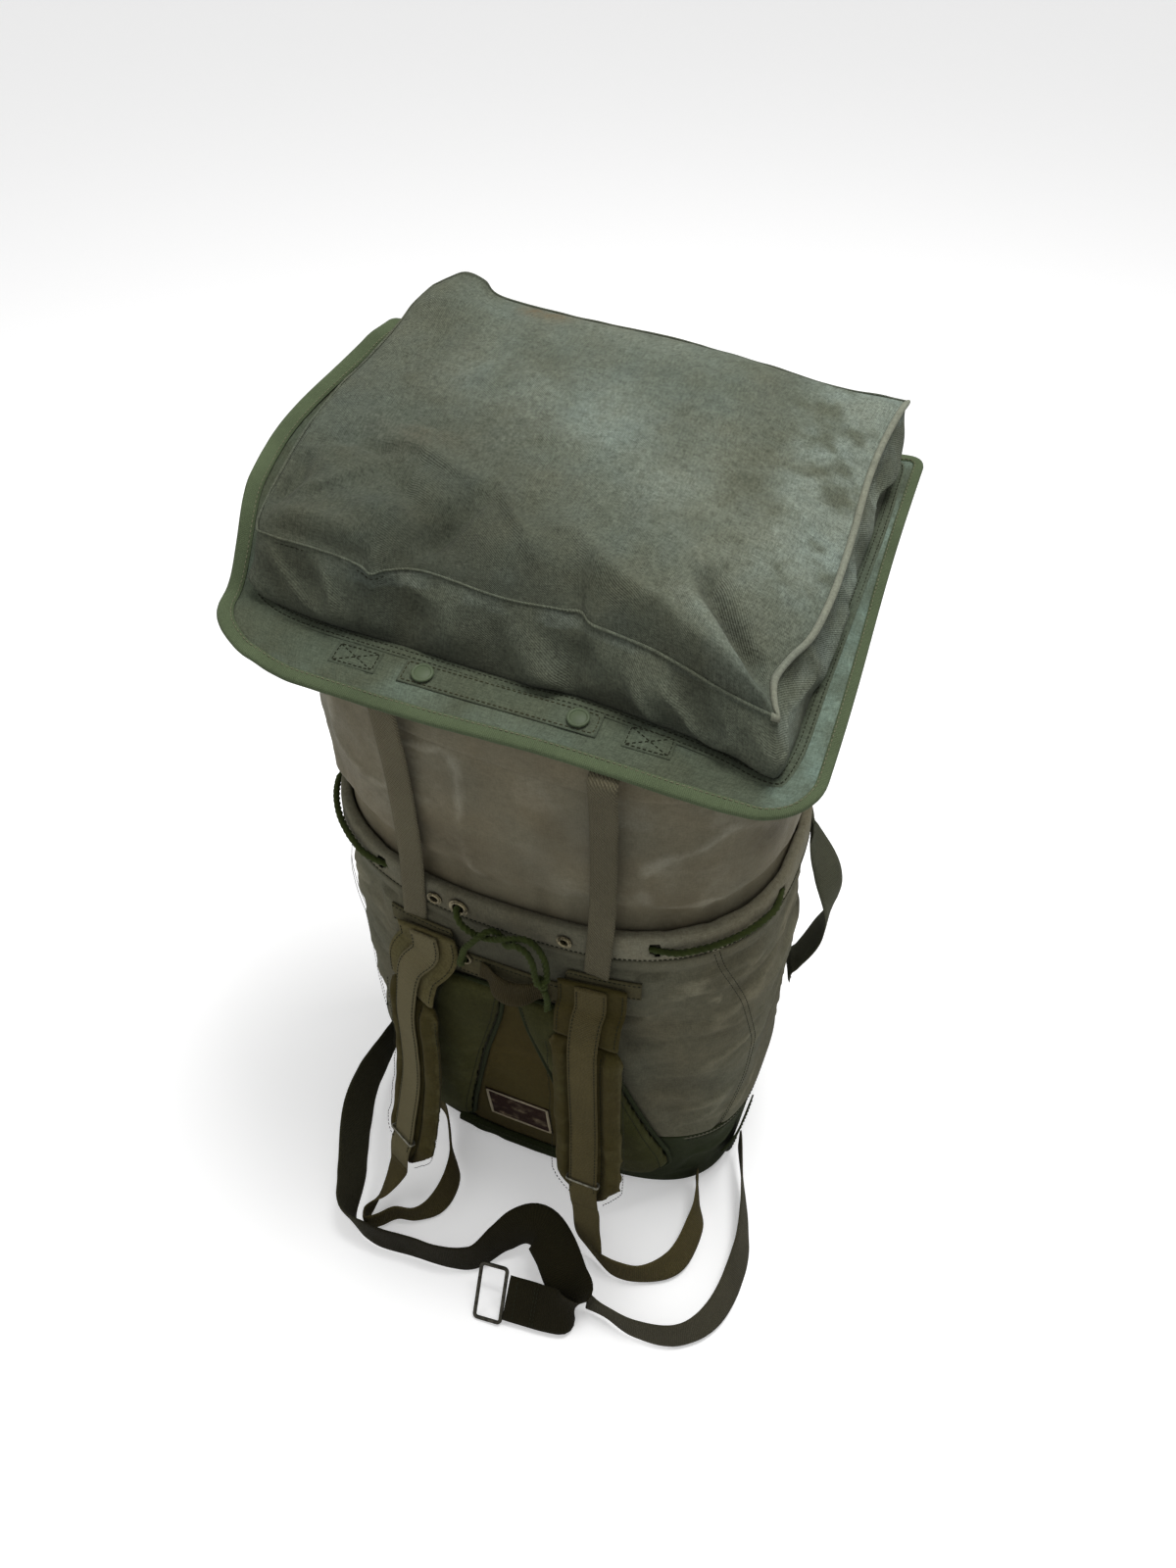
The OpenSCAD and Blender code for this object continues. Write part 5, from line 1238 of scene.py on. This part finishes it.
for s, rows, across, end, word in ((1, RIGHT_ROWS, np.array([1.0, 0, 0]), RIGHT_END, "right"),
                                   (-1, LEFT_ROWS, np.array([0.906, -0.423, 0]), LEFT_END, "left")):
    body = "shoulder_strap_" + word
    pad_piece(rows, across, word, 81 + s)

    def doubled(u, k):
        return 0.25 * noise(xyz(u * 2.5, k * 5, s), 83)

    yoke_end = top_stations(s, rows, across, 0)
    top = webbing("strap_top_cloth_" + word, yoke_end, 54, 3.6, cols=25, profile=doubled, wave=0.5, seed=16 + s,
                  body=body, look=pad_cloth)
    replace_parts(top, "strap_top_" + word)
    places = top_stations(s, rows, across, (TOP_T + WEB_T) / 2 + 1.5)[:3]
    for k, (x, y, z) in enumerate(rows[:-2]):
        lift = PAD_T / 2 + 1.5 + (-1.2 if k == 0 else 3.6 if k > 3 else 0.8)
        places.append((np.array([x, -(FY + y), z]) + lift * ahead_of(across), across))
    places.append((end, across))
    web = webbing("strap_webbing_run_" + word, places, 25, 2.2, wave=0.3, seed=18 + s, body=body, look=web_pad)
    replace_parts(web, "strap_webbing_" + word)
    if s < 0:
        all_over(web, "fade", 0.5)
        all_over(top, "fade", 0.85)
    sew_edges(body, yoke_end, 24, 1.9, 1)
    sew_edges(body, places, 10.6, 1.15, 8)

# ---- Lid flange and its binding ------------------------------------------
def lid_half(v):
    """Half width of the lid at a distance from its near edge, round its corners."""
    half = LID_W / 2
    for radius, from_end in ((LID_CORNER, v), (LID_FAR_CORNER, LID_L - v)):
        half = half - radius + np.sqrt(radius ** 2 - np.clip(radius - from_end, 0, radius) ** 2)
    return half


def flange(x, v):
    """Lid coordinates of the cloth's middle surface, curled up on the left and waved at its edges."""
    left = smooth((-x - 176) / 34) * smooth((v - 46) / 90) * (1 - 0.25 * smooth((v - 300) / 44))
    right, front = smooth((x - 186) / 24), smooth((26 - v) / 26)
    curl = smooth((-x - 128) / 70) * smooth((86 - v) / 86)
    h = 1.25 + 30 * left + 3.5 * smooth((x - 150) / 50) * smooth((70 - v) / 60) + 7 * curl
    h = h + right * (2.6 * np.sin(v / 38.0) + 1.2 * np.sin(v / 17.0 + 1)) * smooth((v - 30) / 40)
    h = h + front * (1.1 * np.sin(x / 27.0) + 0.7 * np.sin(x / 61.0 + 2))
    bulge = 7 * left + 15 * smooth((-x - 150) / 60) * bump(v, 190, 130)
    return xyz(x - bulge + 1.2 * right * np.sin(v / 52.0) + 9 * curl, v + 0.8 * front * np.sin(x / 44.0) + 9 * curl, h)


def flange_up(x, v):
    e = 0.6
    return unit(np.cross(flange(x + e, v) - flange(x - e, v), flange(x, v + e) - flange(x, v - e)))


v = np.concatenate([np.linspace(0.6, 38, 22), np.linspace(41, LID_L - 14, 86),
                    np.linspace(LID_L - 12, LID_L - 0.6, 10)])
u = np.concatenate([np.linspace(0, 0.16, 16), np.linspace(0.175, 0.825, 90), np.linspace(0.84, 1, 16)]) * 2 - 1
flat_grid = flange(u * (lid_half(v) - 0.6)[:, None], v[:, None])
flat_grid = flat_grid + xyz(0, 0, 1.15 + 0.35 * fbm(flat_grid / 26, 91, 3))
panel = skin("lid_flange_canvas", lid(flat_grid), 2.3, body="lid", look=lid_flat)
x, q = flat_grid[..., 0], flat_grid / 46
shade_with(panel, "fade", np.maximum(0, fbm(q, 92)) * 0.35
           + 0.85 * smooth((x - 172) / 14) * (0.7 + 0.5 * fbm(q * 2, 93)))
shade_with(panel, "grime", np.maximum(0, fbm(q * 0.9, 94) - 0.1) * 0.7 * smooth((60 - x) / 160))
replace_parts(panel, "lid_panel")


def lid_rim(inset, step):
    """Points (x, v, 0) round the lid at an even distance inside its edge, with the inward direction."""
    half, rows = LID_W / 2, []
    for x, v, radius, start in ((half - LID_CORNER, LID_CORNER, LID_CORNER, -90),
                                (half - LID_FAR_CORNER, LID_L - LID_FAR_CORNER, LID_FAR_CORNER, 0),
                                (LID_FAR_CORNER - half, LID_L - LID_FAR_CORNER, LID_FAR_CORNER, 90),
                                (LID_CORNER - half, LID_CORNER, LID_CORNER, 180)):
        a = np.radians(np.linspace(start, start + 90, 14))
        way = xyz(np.cos(a), np.sin(a))
        rows.append(np.hstack([[x, v, 0] + (radius - inset) * way, -way]))
    ring = closed(np.concatenate(rows))
    ring = even(ring, count=int(lengths(ring[:, :3])[-1] / step) + 1)[:-1]
    return ring[:, :3], unit(ring[:, 3:])


rim, rim_in = lid_rim(0.4, 3.0)
x, v = rim[:, 0], rim[:, 1]
centre = flange(x, v)
inward = unit(flange(x + 6 * rim_in[:, 0], v + 6 * rim_in[:, 1]) - centre)
up = flange_up(x, v)
up = unit(up - np.sum(up * inward, 1)[:, None] * inward)
inward = inward * (1 - 0.12 * smooth((30 - v) / 30) - 0.36 * smooth((x - 150) / 50))[:, None]
pinch = 0.25 * noise(xyz(x / 11, v / 11), 95)
BINDING = [(10.6, 1.25), (10.4, 1.95), (8.5, 2.15), (5, 2.35), (1.5, 2.3), (-0.6, 1.6), (-1.2, 0.2), (-0.8, -1.3),
           (1.2, -2.0), (5, -2.1), (9, -2.0), (10.4, -1.8), (10.6, -1.15), (4, -1.2), (0.4, -0.6), (0.4, 0.6),
           (4, 1.25)]
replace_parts(sweep("lid_edge_binding", lid(centre + up * pinch[:, None]), lid_dir(inward), lid_dir(up), BINDING[::-1],
                  body="lid", look=tape_green), "lid_binding")
sew("lid", pale_thread, lid(closed(centre + inward * 8.6 + up * 2.2)), lid_dir(closed(up)), lift=0.2)

# ---- Lid pocket ----------------------------------------------------------
# The ridge where crown and gusset meet: (x, v, height)
RIDGE_NEAR = [(-182, 73, 50), (-166, 71, 51), (-128, 70, 51), (-106, 67, 50), (-97, 64, 48.5), (-88, 71, 49),
              (-66, 78, 48), (-14, 74, 48), (26, 77, 48.5), (38, 80, 47.5), (48, 74, 45.5), (83, 70, 44),
              (110, 63, 43), (135, 55, 42), (155, 50, 41.5), (172, 46, 42)]
RIDGE_RIGHT = [(172, 46, 42), (166, 58, 40.5), (162, 74, 41), (167, 92, 42.5), (175, 112, 44), (179, 150, 45),
               (179, 200, 46), (177, 260, 46), (179, 300, 47), (183, 330, 49), (186, 347, 46)]
RIDGE_FAR = [(-172, 334, 65), (-163, 341, 69), (-150, 345, 74), (-134, 343, 72), (-118, 338, 65), (-59, 339, 61),
             (15, 343, 58), (82, 342, 54), (134, 340, 50), (170, 344, 48), (186, 347, 46)]
RIDGE_LEFT = [(-182, 73, 50), (-185, 84, 54), (-186, 119, 61), (-187, 158, 65), (-185, 204, 66), (-182, 243, 63),
              (-180, 284, 61), (-179, 312, 62), (-172, 334, 65)]
# The seam on the lid and the break of the crown: (x, v)
SEAM_NEAR = [(-180, 62), (-150, 53), (-63, 50), (4, 48), (48, 50), (100, 46), (142, 41), (172, 33), (180, 32)]
SEAM_RIGHT = [(180, 32), (184, 60), (185, 109), (188, 200), (190, 260), (190, 328)]
SEAM_FAR, SEAM_LEFT = [(190, 328), (0, 330), (-181, 328)], [(-181, 328), (-180, 190), (-180, 62)]
SEAM_H = 3.0
BREAK = np.array([(-187, 150), (-95, 149), (-44, 150), (0, 134), (28, 119), (65, 97), (104, 77), (130, 64), (150, 54),
                  (172, 50)])
NX, NY = 190, 150


def side_curve(points, count):
    return even(spline([(*p, SEAM_H)[:3] for p in points], 24), count=count)


def fold_line(points, height, width, skew=0.0, ends=0.6):
    """A raised crease of the crown along points in (x, v), steeper on one side where skew is given."""
    line = even([(*p, 0) for p in points], 3.0)
    way = unit(np.gradient(line, axis=0))
    off = crown_flat[:, :, None, :2] - line[:, :2]
    far = np.sum(off ** 2, -1)
    i = far.argmin(-1)
    off = np.take_along_axis(off, i[..., None, None], 2)[:, :, 0]
    w = width * (1 + skew * np.sign(way[i, 0] * off[..., 1] - way[i, 1] * off[..., 0]))
    return height * np.sin(math.pi * (i + 0.5) / len(line)) ** ends * np.exp(-far.min(-1) / (2 * w * w))


def spot(x, v, rx, rv):
    return np.exp(-((crown_flat[..., 0] - x) / rx) ** 2 - ((crown_flat[..., 1] - v) / rv) ** 2)


near_r, far_r = side_curve(RIDGE_NEAR, NX), side_curve(RIDGE_FAR, NX)
left_r, right_r = side_curve(RIDGE_LEFT, NY), side_curve(RIDGE_RIGHT, NY)
share = np.linspace(0, 1, NY)
gu, gv = np.linspace(0, 1, NX)[:, None], (share ** 1.25)[:, None, None]
left_g, right_g = (follow(side, share, share ** 1.25)[:, None] for side in (left_r, right_r))
crown_flat = (mix(near_r, far_r, gv) + mix(left_g, right_g, gu)
              - mix(mix(near_r[0], near_r[-1], gu), mix(far_r[0], far_r[-1], gu), gv))
x, v, h = np.moveaxis(crown_flat, -1, 0)
break_v = np.interp(x, BREAK[:, 0], BREAK[:, 1])
climb = np.clip((v - near_r[:, 1]) / np.maximum(7, break_v - near_r[:, 1]), 0, None)
crisp = mix(0.6, 0.16, smooth((x + 70) / 120))


def bend(r):
    return 0.5 * (r + 1 - np.sqrt((r - 1) ** 2 + crisp ** 2))


near_f = np.clip((bend(climb) - bend(0)) / (1 - bend(0)), 0, 1)
from_right, from_left, from_far, from_near = (
    np.linalg.norm(crown_flat - edge, axis=-1)
    for edge in (crown_flat[:, -1:], crown_flat[:, :1], crown_flat[-1:], crown_flat[:1]))
shoulders = (1 - np.exp(-(from_right / 24) ** 1.3)) * (1 - np.exp(-from_left / 9)) * (1 - np.exp(-from_far / 13))
target = (66.5 - 6 * smooth((x - 60) / 110) + 4.5 * spot(-50, 235, 110, 90) + 10 * spot(-146, 320, 34, 24)
          - 3 * spot(150, 290, 50, 60) + 2.4 * fbm(xyz(x / 62, v / 62), 101, 3))
h = h + (target - h) * near_f * shoulders
inner = smooth(np.minimum.reduce([from_right, from_left, from_far, from_near]) / 9)
RIGHT_CREASE = [(98, 128), (120, 99), (144, 76), (163, 58)]
FOLDS = [                                                  # points, height, width, skew
    ([(92, 106), (121, 80), (150, 58), (170, 48)], 7, 6), (RIGHT_CREASE, -10, 5.5, 0.2),
    ([(106, 103), (113, 127), (120, 145)], -3.0, 3),
    ([(0, 136), (28, 120), (65, 98), (104, 78), (142, 58)], 2.6, 5, -0.3),
    ([(-74, 88), (-62, 112), (-46, 140)], -7.0, 5.5, 0.35),
    ([(-44, 152), (-30, 132), (-12, 112), (2, 92)], 3.6, 4.2, 0.3),
    ([(-150, 158), (-112, 166), (-76, 152), (-52, 146)], 3.4, 4.5, 0.3),
    ([(-168, 104), (-146, 118), (-128, 140)], 3.0, 4.0, 0.3), ([(-177, 86), (-140, 84), (-102, 80)], 6.5, 6.5),
    ([(-178, 75.5), (-140, 74), (-102, 71)], -3.0, 2.6), ([(-182, 92), (-173, 116), (-178, 142)], -7, 5),
    ([(-180, 146), (-150, 159), (-118, 152)], -4.2, 6, 0.3), ([(-124, 146), (-102, 127), (-84, 110)], -4.8, 6, 0.3),
    ([(150, 130), (165, 190), (166, 250)], -2.5, 10), ([(-165, 300), (-148, 270), (-152, 235)], -2.5, 9),
    ([(-120, 336), (-112, 318), (-96, 300)], -3.0, 7)]
LUMPS = [(-5.5, -62, 104, 17, 15), (7, -108, 100, 27, 17), (6, -12, 104, 27, 16),      # height, x, v, and its radii
         (-4.5, 42, 92, 13, 12), (3, 76, 88, 18, 9)]
folds = sum(fold_line(*fold) for fold in FOLDS) + sum(height * spot(*place) for height, *place in LUMPS)
fine = 0.9 * crease(xyz(x / 19, v / 19), 103, 2) + 0.3 * noise(xyz(x / 5, v / 5), 104)
crown = skin("pocket_crown_canvas", lid(xyz(x, v, h + (1.25 * folds + fine) * inner)), 1.3, body="lid", look=lid_cloth)
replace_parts(crown, "lid_pocket")
patchy, mottle = fbm(xyz(x / 55, v / 55), 105), fbm(xyz(x / 16, v / 16), 106, 3)
shade_with(crown, "fade", 0.16 * smooth((v - break_v + 14) / 28)
           + fold_line([(-130, 262), (-93, 253), (-59, 254), (34, 218), (103, 190), (152, 132)], 0.5, 32, 0, 0.4)
           * (0.75 + 0.7 * patchy)
           + fold_line([(-150, 322), (-48, 329), (60, 322)], 0.55, 15, 0, 0.4) * (0.7 + 0.6 * patchy)
           + 0.95 * smooth((x - 105) / 55) * smooth((v - 110) / 60) * (0.6 + 0.8 * mottle)
           + fold_line([(92, 106), (121, 80), (150, 58)], 0.5, 6) + 0.10 * mottle)
shade_with(crown, "grime", 1.1 * spot(-82, 329, 17, 9) * (0.7 + 0.8 * mottle)
           + 0.25 * spot(-110, 178, 34, 16) * (0.6 + 0.7 * mottle))
# Painted shade on the near slope below the break, in the hollow at (-64, 104) and along the right crease; darker
# towards the left and near edge and away from the right, with random darker tone.
shade_with(crown, "dark", 0.75 * (1 - near_f) * smooth((x + 150) / 90)
           + 0.36 * smooth((-x - 10) / 120) * smooth((300 - v) / 140) + 0.16 * smooth((110 - x) / 90)
           + 0.25 * spot(-64, 104, 16, 16) + 0.3 * np.maximum(0, mottle) + fold_line(RIGHT_CREASE, 0.8, 5))

# Gusset between the seam and the ridge, with the zip slot left open in its left side
ZIP_V0, ZIP_V1, ZIP_H, ZIP_SLOT = 86.0, 294.0, 22.0, 5.4
ridge_loop = np.concatenate([near_r[:-1], right_r[:-1], far_r[:0:-1], left_r[:0:-1]])
base_loop = np.concatenate([side_curve(points, count)[:-1] for points, count in (
    (SEAM_NEAR, NX), (SEAM_RIGHT, NY), (SEAM_FAR, NX), (SEAM_LEFT, NY))])
place = np.arange(len(base_loop))
ZIP_SIDE = 2 * NX + NY - 3                                 # where the left side starts in the loops
near_side, zip_side = place < NX - 1, place >= ZIP_SIDE
ahead = np.roll(base_loop, -1, 0) - np.roll(base_loop, 1, 0)
out_dir = unit(xyz(ahead[:, 1], -ahead[:, 0]))
for _ in range(10):
    out_dir = unit(np.roll(out_dir, 1, 0) + 2 * out_dir + np.roll(out_dir, -1, 0))
round_s = lengths(base_loop)
corner_free = smooth(np.minimum(round_s - round_s[ZIP_SIDE - 1], round_s[-1] - round_s) / 14) * zip_side
w = np.linspace(0, 1, 32)[:, None]
p = mix(base_loop, ridge_loop, w[..., None])
p[..., :2] = mix(p[..., :2], mix(base_loop, ridge_loop, w[..., None] ** 2.6)[..., :2], corner_free[:, None])
belly = np.sin(math.pi * w ** 0.8)
rough = noise(xyz(p[..., 0] / 30, p[..., 1] / 30, w * 1.4), 111)
diag = crease(xyz(p[..., 0] / 30 + w * 1.3, p[..., 1] / 30, w), 112, 2)
bulge = np.where(zip_side, 0.2, np.where(near_side, 8.0, 3.5)) + np.where(zip_side, 0.1, 4.2) * rough
bulge = bulge + np.where(zip_side, 0, 7.0) * (diag - 0.5)
for at, size, deep in ((-66, 11, 5.5), (44, 9, 4.0), (-20, 14, 2.0), (118, 10, 2.5)):
    bulge = bulge - near_side * deep * np.exp(-((p[..., 0] - at - 14 * (w - 0.5)) / size) ** 2)
drape = near_side * 2.2 * np.sin(math.pi * w) * np.sin(p[..., 0] / 21.0)
gusset = p + out_dir * (bulge * belly)[..., None] + xyz(0, 0, drape * 0.4)
gx, gh, in_lid = gusset[..., 0], gusset[..., 2], lid(gusset)
mid_x, mid_v, mid_h = np.moveaxis(middles(gusset), -1, 0)
slot_here = (mid_x < -170) & (mid_v > ZIP_V0 + 1) & (mid_v < ZIP_V1 - 1) & (np.abs(mid_h - ZIP_H) < ZIP_SLOT)
weave = np.meshgrid(lengths(closed(base_loop)), arc(in_lid, 0).mean(1))
side_skin = shell("pocket_gusset_canvas", in_lid, in_lid - normals(in_lid, True) * 1.2, *weave, True, ~slot_here,
                  body="lid", look=lid_cloth)
rub = fbm(gusset / 24, 113, 3)
shade_with(side_skin, "fade", 0.35 * (gh > 40) * (0.5 + rub) + 0.55 * smooth((gx - 168) / 10) * (0.4 + rub))
# Painted shade low on the gusset by the flange and in the hollows of its folds; slightly darker away from the right
# edge, with random darker tone.
shade_with(side_skin, "dark", 0.18 * (1 - smooth((gx - 172) / 8)) + 0.5 * smooth((20 - gh) / 16) + 0.35 * rub
           + 0.5 * smooth((0.42 - diag) / 0.3))

# Piping where crown and gusset are sewn together, full on the right and flat on the left
starts = int(np.argmin(np.abs(near_r[:, 0] - 30)))
a = np.linspace(0, TAU, 10, endpoint=False)[::-1]
CORD_FORM = np.stack([np.cos(a), np.sin(a)], 1)
wobble = 0.3 + 0.35 * noise(xyz(ridge_loop[:, 0] / 15, ridge_loop[:, 1] / 15), 115)
for word, ids, radius, look in (("near", place[starts:NX + 4], 1.2, lid_cloth),
                                ("right", place[NX - 3:NX + NY - 2], 2.5, piping_cloth),
                                ("left", np.concatenate([place[NX + NY - 2:], place[:starts + 1]]), 0.85, lid_cloth)):
    line = ridge_loop[ids] + out_dir[ids] * (radius * 0.5) + xyz(0, 0, wobble[ids])
    sweep("pocket_piping_" + word, lid(line), -lid_dir(out_dir[ids]), np.tile(LID_UP, (len(ids), 1)),
          CORD_FORM * radius, wrap=False, body="lid", look=look)


def beside_seam(off, lift):
    """The pocket's seam moved outwards on the flange."""
    line = base_loop + out_dir * off
    line[:, 2] = flange(line[:, 0], line[:, 1])[:, 2] + lift
    return lid(line)


# Turned edge of the gusset, sewn down twice on the lid
for off in (2.6, 6.6):
    sew("lid", dark_thread, beside_seam(off, 1.95), LID_UP, lift=0.1)
sweep("pocket_seam_allowance", beside_seam(4.0, 1.2), -lid_dir(out_dir), np.tile(LID_UP, (len(place), 1)),
      [(-4.6, 0.45), (-3.9, 0.75), (6.0, 0.8), (6.0, 0.0), (-4.6, 0.0)], body="lid", look=lid_flat)
sew("lid", dark_thread, lid(ridge_loop[:starts] + out_dir[:starts] * 1.6 - [0, 0, 3.4]), lid_dir(out_dir[:starts]),
    lift=0.1)


# ---- Fittings of the lid -------------------------------------------------
def on_lid(x, v, lift):
    return lid(flange(x, v) + xyz(0, 0, lift))


def sew_on_lid(look, corners, step, lift):
    row = even([(*p, 0) for p in corners], step)
    sew("lid", look, on_lid(row[:, 0], row[:, 1], lift), LID_UP)


def box(x0, x1, v0, v1):
    return [(x0, v0), (x1, v0), (x1, v1), (x0, v1), (x0, v0)]


x, v = np.meshgrid(np.linspace(-67.5, 67.5, 60), np.linspace(23, 42, 12))
strip = on_lid(x, v, 2.35 + 0.15 * noise(xyz(x / 7, v / 7), 121))
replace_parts(skin("snap_strip_cloth", strip, 1.0, body="lid", look=lid_flat), "snap_strip")
sew_on_lid(thread, box(-65.5, 65.5, 25, 40), 3, 2.45)
for s, word in SIDES:
    x, v = np.meshgrid(s * 100 + np.linspace(-16, 16, 18), np.linspace(23, 41, 10))
    patch = skin("lid_anchor_patch_" + word, on_lid(x, v, 1.7 + 0.12 * noise(xyz(x / 6, v / 6), 123)), 0.9, body="lid",
                 look=lid_flat)
    if s < 0:
        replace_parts(patch, "lid_anchor_patches")
    a, b = s * 100 - 14, s * 100 + 14
    for run in (box(a, b, 25, 39), [(a, 25), (b, 39)], [(a, 39), (b, 25)]):
        sew_on_lid(dark_thread, run, 2, 1.8)

# Zip tape behind the slot
TAPE_X = -176.6
v, h = np.meshgrid(np.linspace(ZIP_V1 + 4, ZIP_V0 - 4, 90), np.linspace(ZIP_H - 9, ZIP_H + 9, 12))
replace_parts(skin("zip_tape_woven", lid(xyz(TAPE_X, v, h)), 0.9, body="lid", look=zip_dark), "zip_tape")

# ---- Closing straps on the far side --------------------------------------
TAIL_X = 85
for s, word in SIDES:
    x = s * TAIL_X
    root = lid([x, LID_L - 14, -WEB_T - 0.3 - 1.25])
    hang = [(root + [0, y, z], X) for y, z in ((0, 0), (1.5, -20), (2, -85), (1, -170))]
    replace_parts(webbing("closing_tail_webbing_" + word, hang, 20, 2.1, wave=0.35, seed=22 + s,
                        body="closing_tail_" + word, look=web_olive), "closing_tail_" + word)
    under = [(lid([x, LID_L - back, h]), LID_X) for back, h in ((43, -1.4), (28, -1.4), (13.2, -1.5))]
    anchor = webbing("tail_anchor_webbing_" + word, under, 20, 2.0, steps=6, body="lid", look=web_olive)
    on_wall = [([x, face_y(x, z) + 1.8, z], unit([-20, face_y(x - 10, z) - face_y(x + 10, z), 0]))
               for z in (286, 309, 338)]
    tab = webbing("buckle_tab_webbing_" + word, on_wall, 20, 2.1, seed=24 + s, look=web_olive)
    if s < 0:
        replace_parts(anchor, "tail_anchors")
        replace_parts(tab, "buckle_tabs")
    for z in (289.0, 303.0):
        row = x + np.linspace(-8, 8, 8)
        sew("bag", dark_thread, xyz(row, face_y(row, z) + 3.0, z), Y)

# ---- Metal and painted pieces kept from the frame ------------------------
for look, nodes in ((brass, "small_eyelets cord_grommet yoke_eyelet snap_sockets zip_slider zip_pull"),
                    (steel, "wire_keeper_left wire_keeper_right closing_buckle_left closing_buckle_right"),
                    (dark_steel, "belt_frame"), (cap_green, "snap_caps"), (zip_dark, "zip_coil")):
    for node in nodes.split():
        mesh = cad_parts[node].data
        mesh.materials.clear()
        mesh.materials.append(look[0])

# ---- Stitches ------------------------------------------------------------
for (body, look), parts in sorted(stitches.items(), key=lambda entry: (entry[0][0], entry[0][1][0].name)):
    corners = np.concatenate(parts)
    faces = (8 * np.arange(len(corners))[:, None, None] + STITCH_FACES).reshape(-1, 4)
    make("stitches_%s_%s" % (body, look[0].name), corners.reshape(-1, 3), faces, body=body, look=look,
         smooth_faces=False)
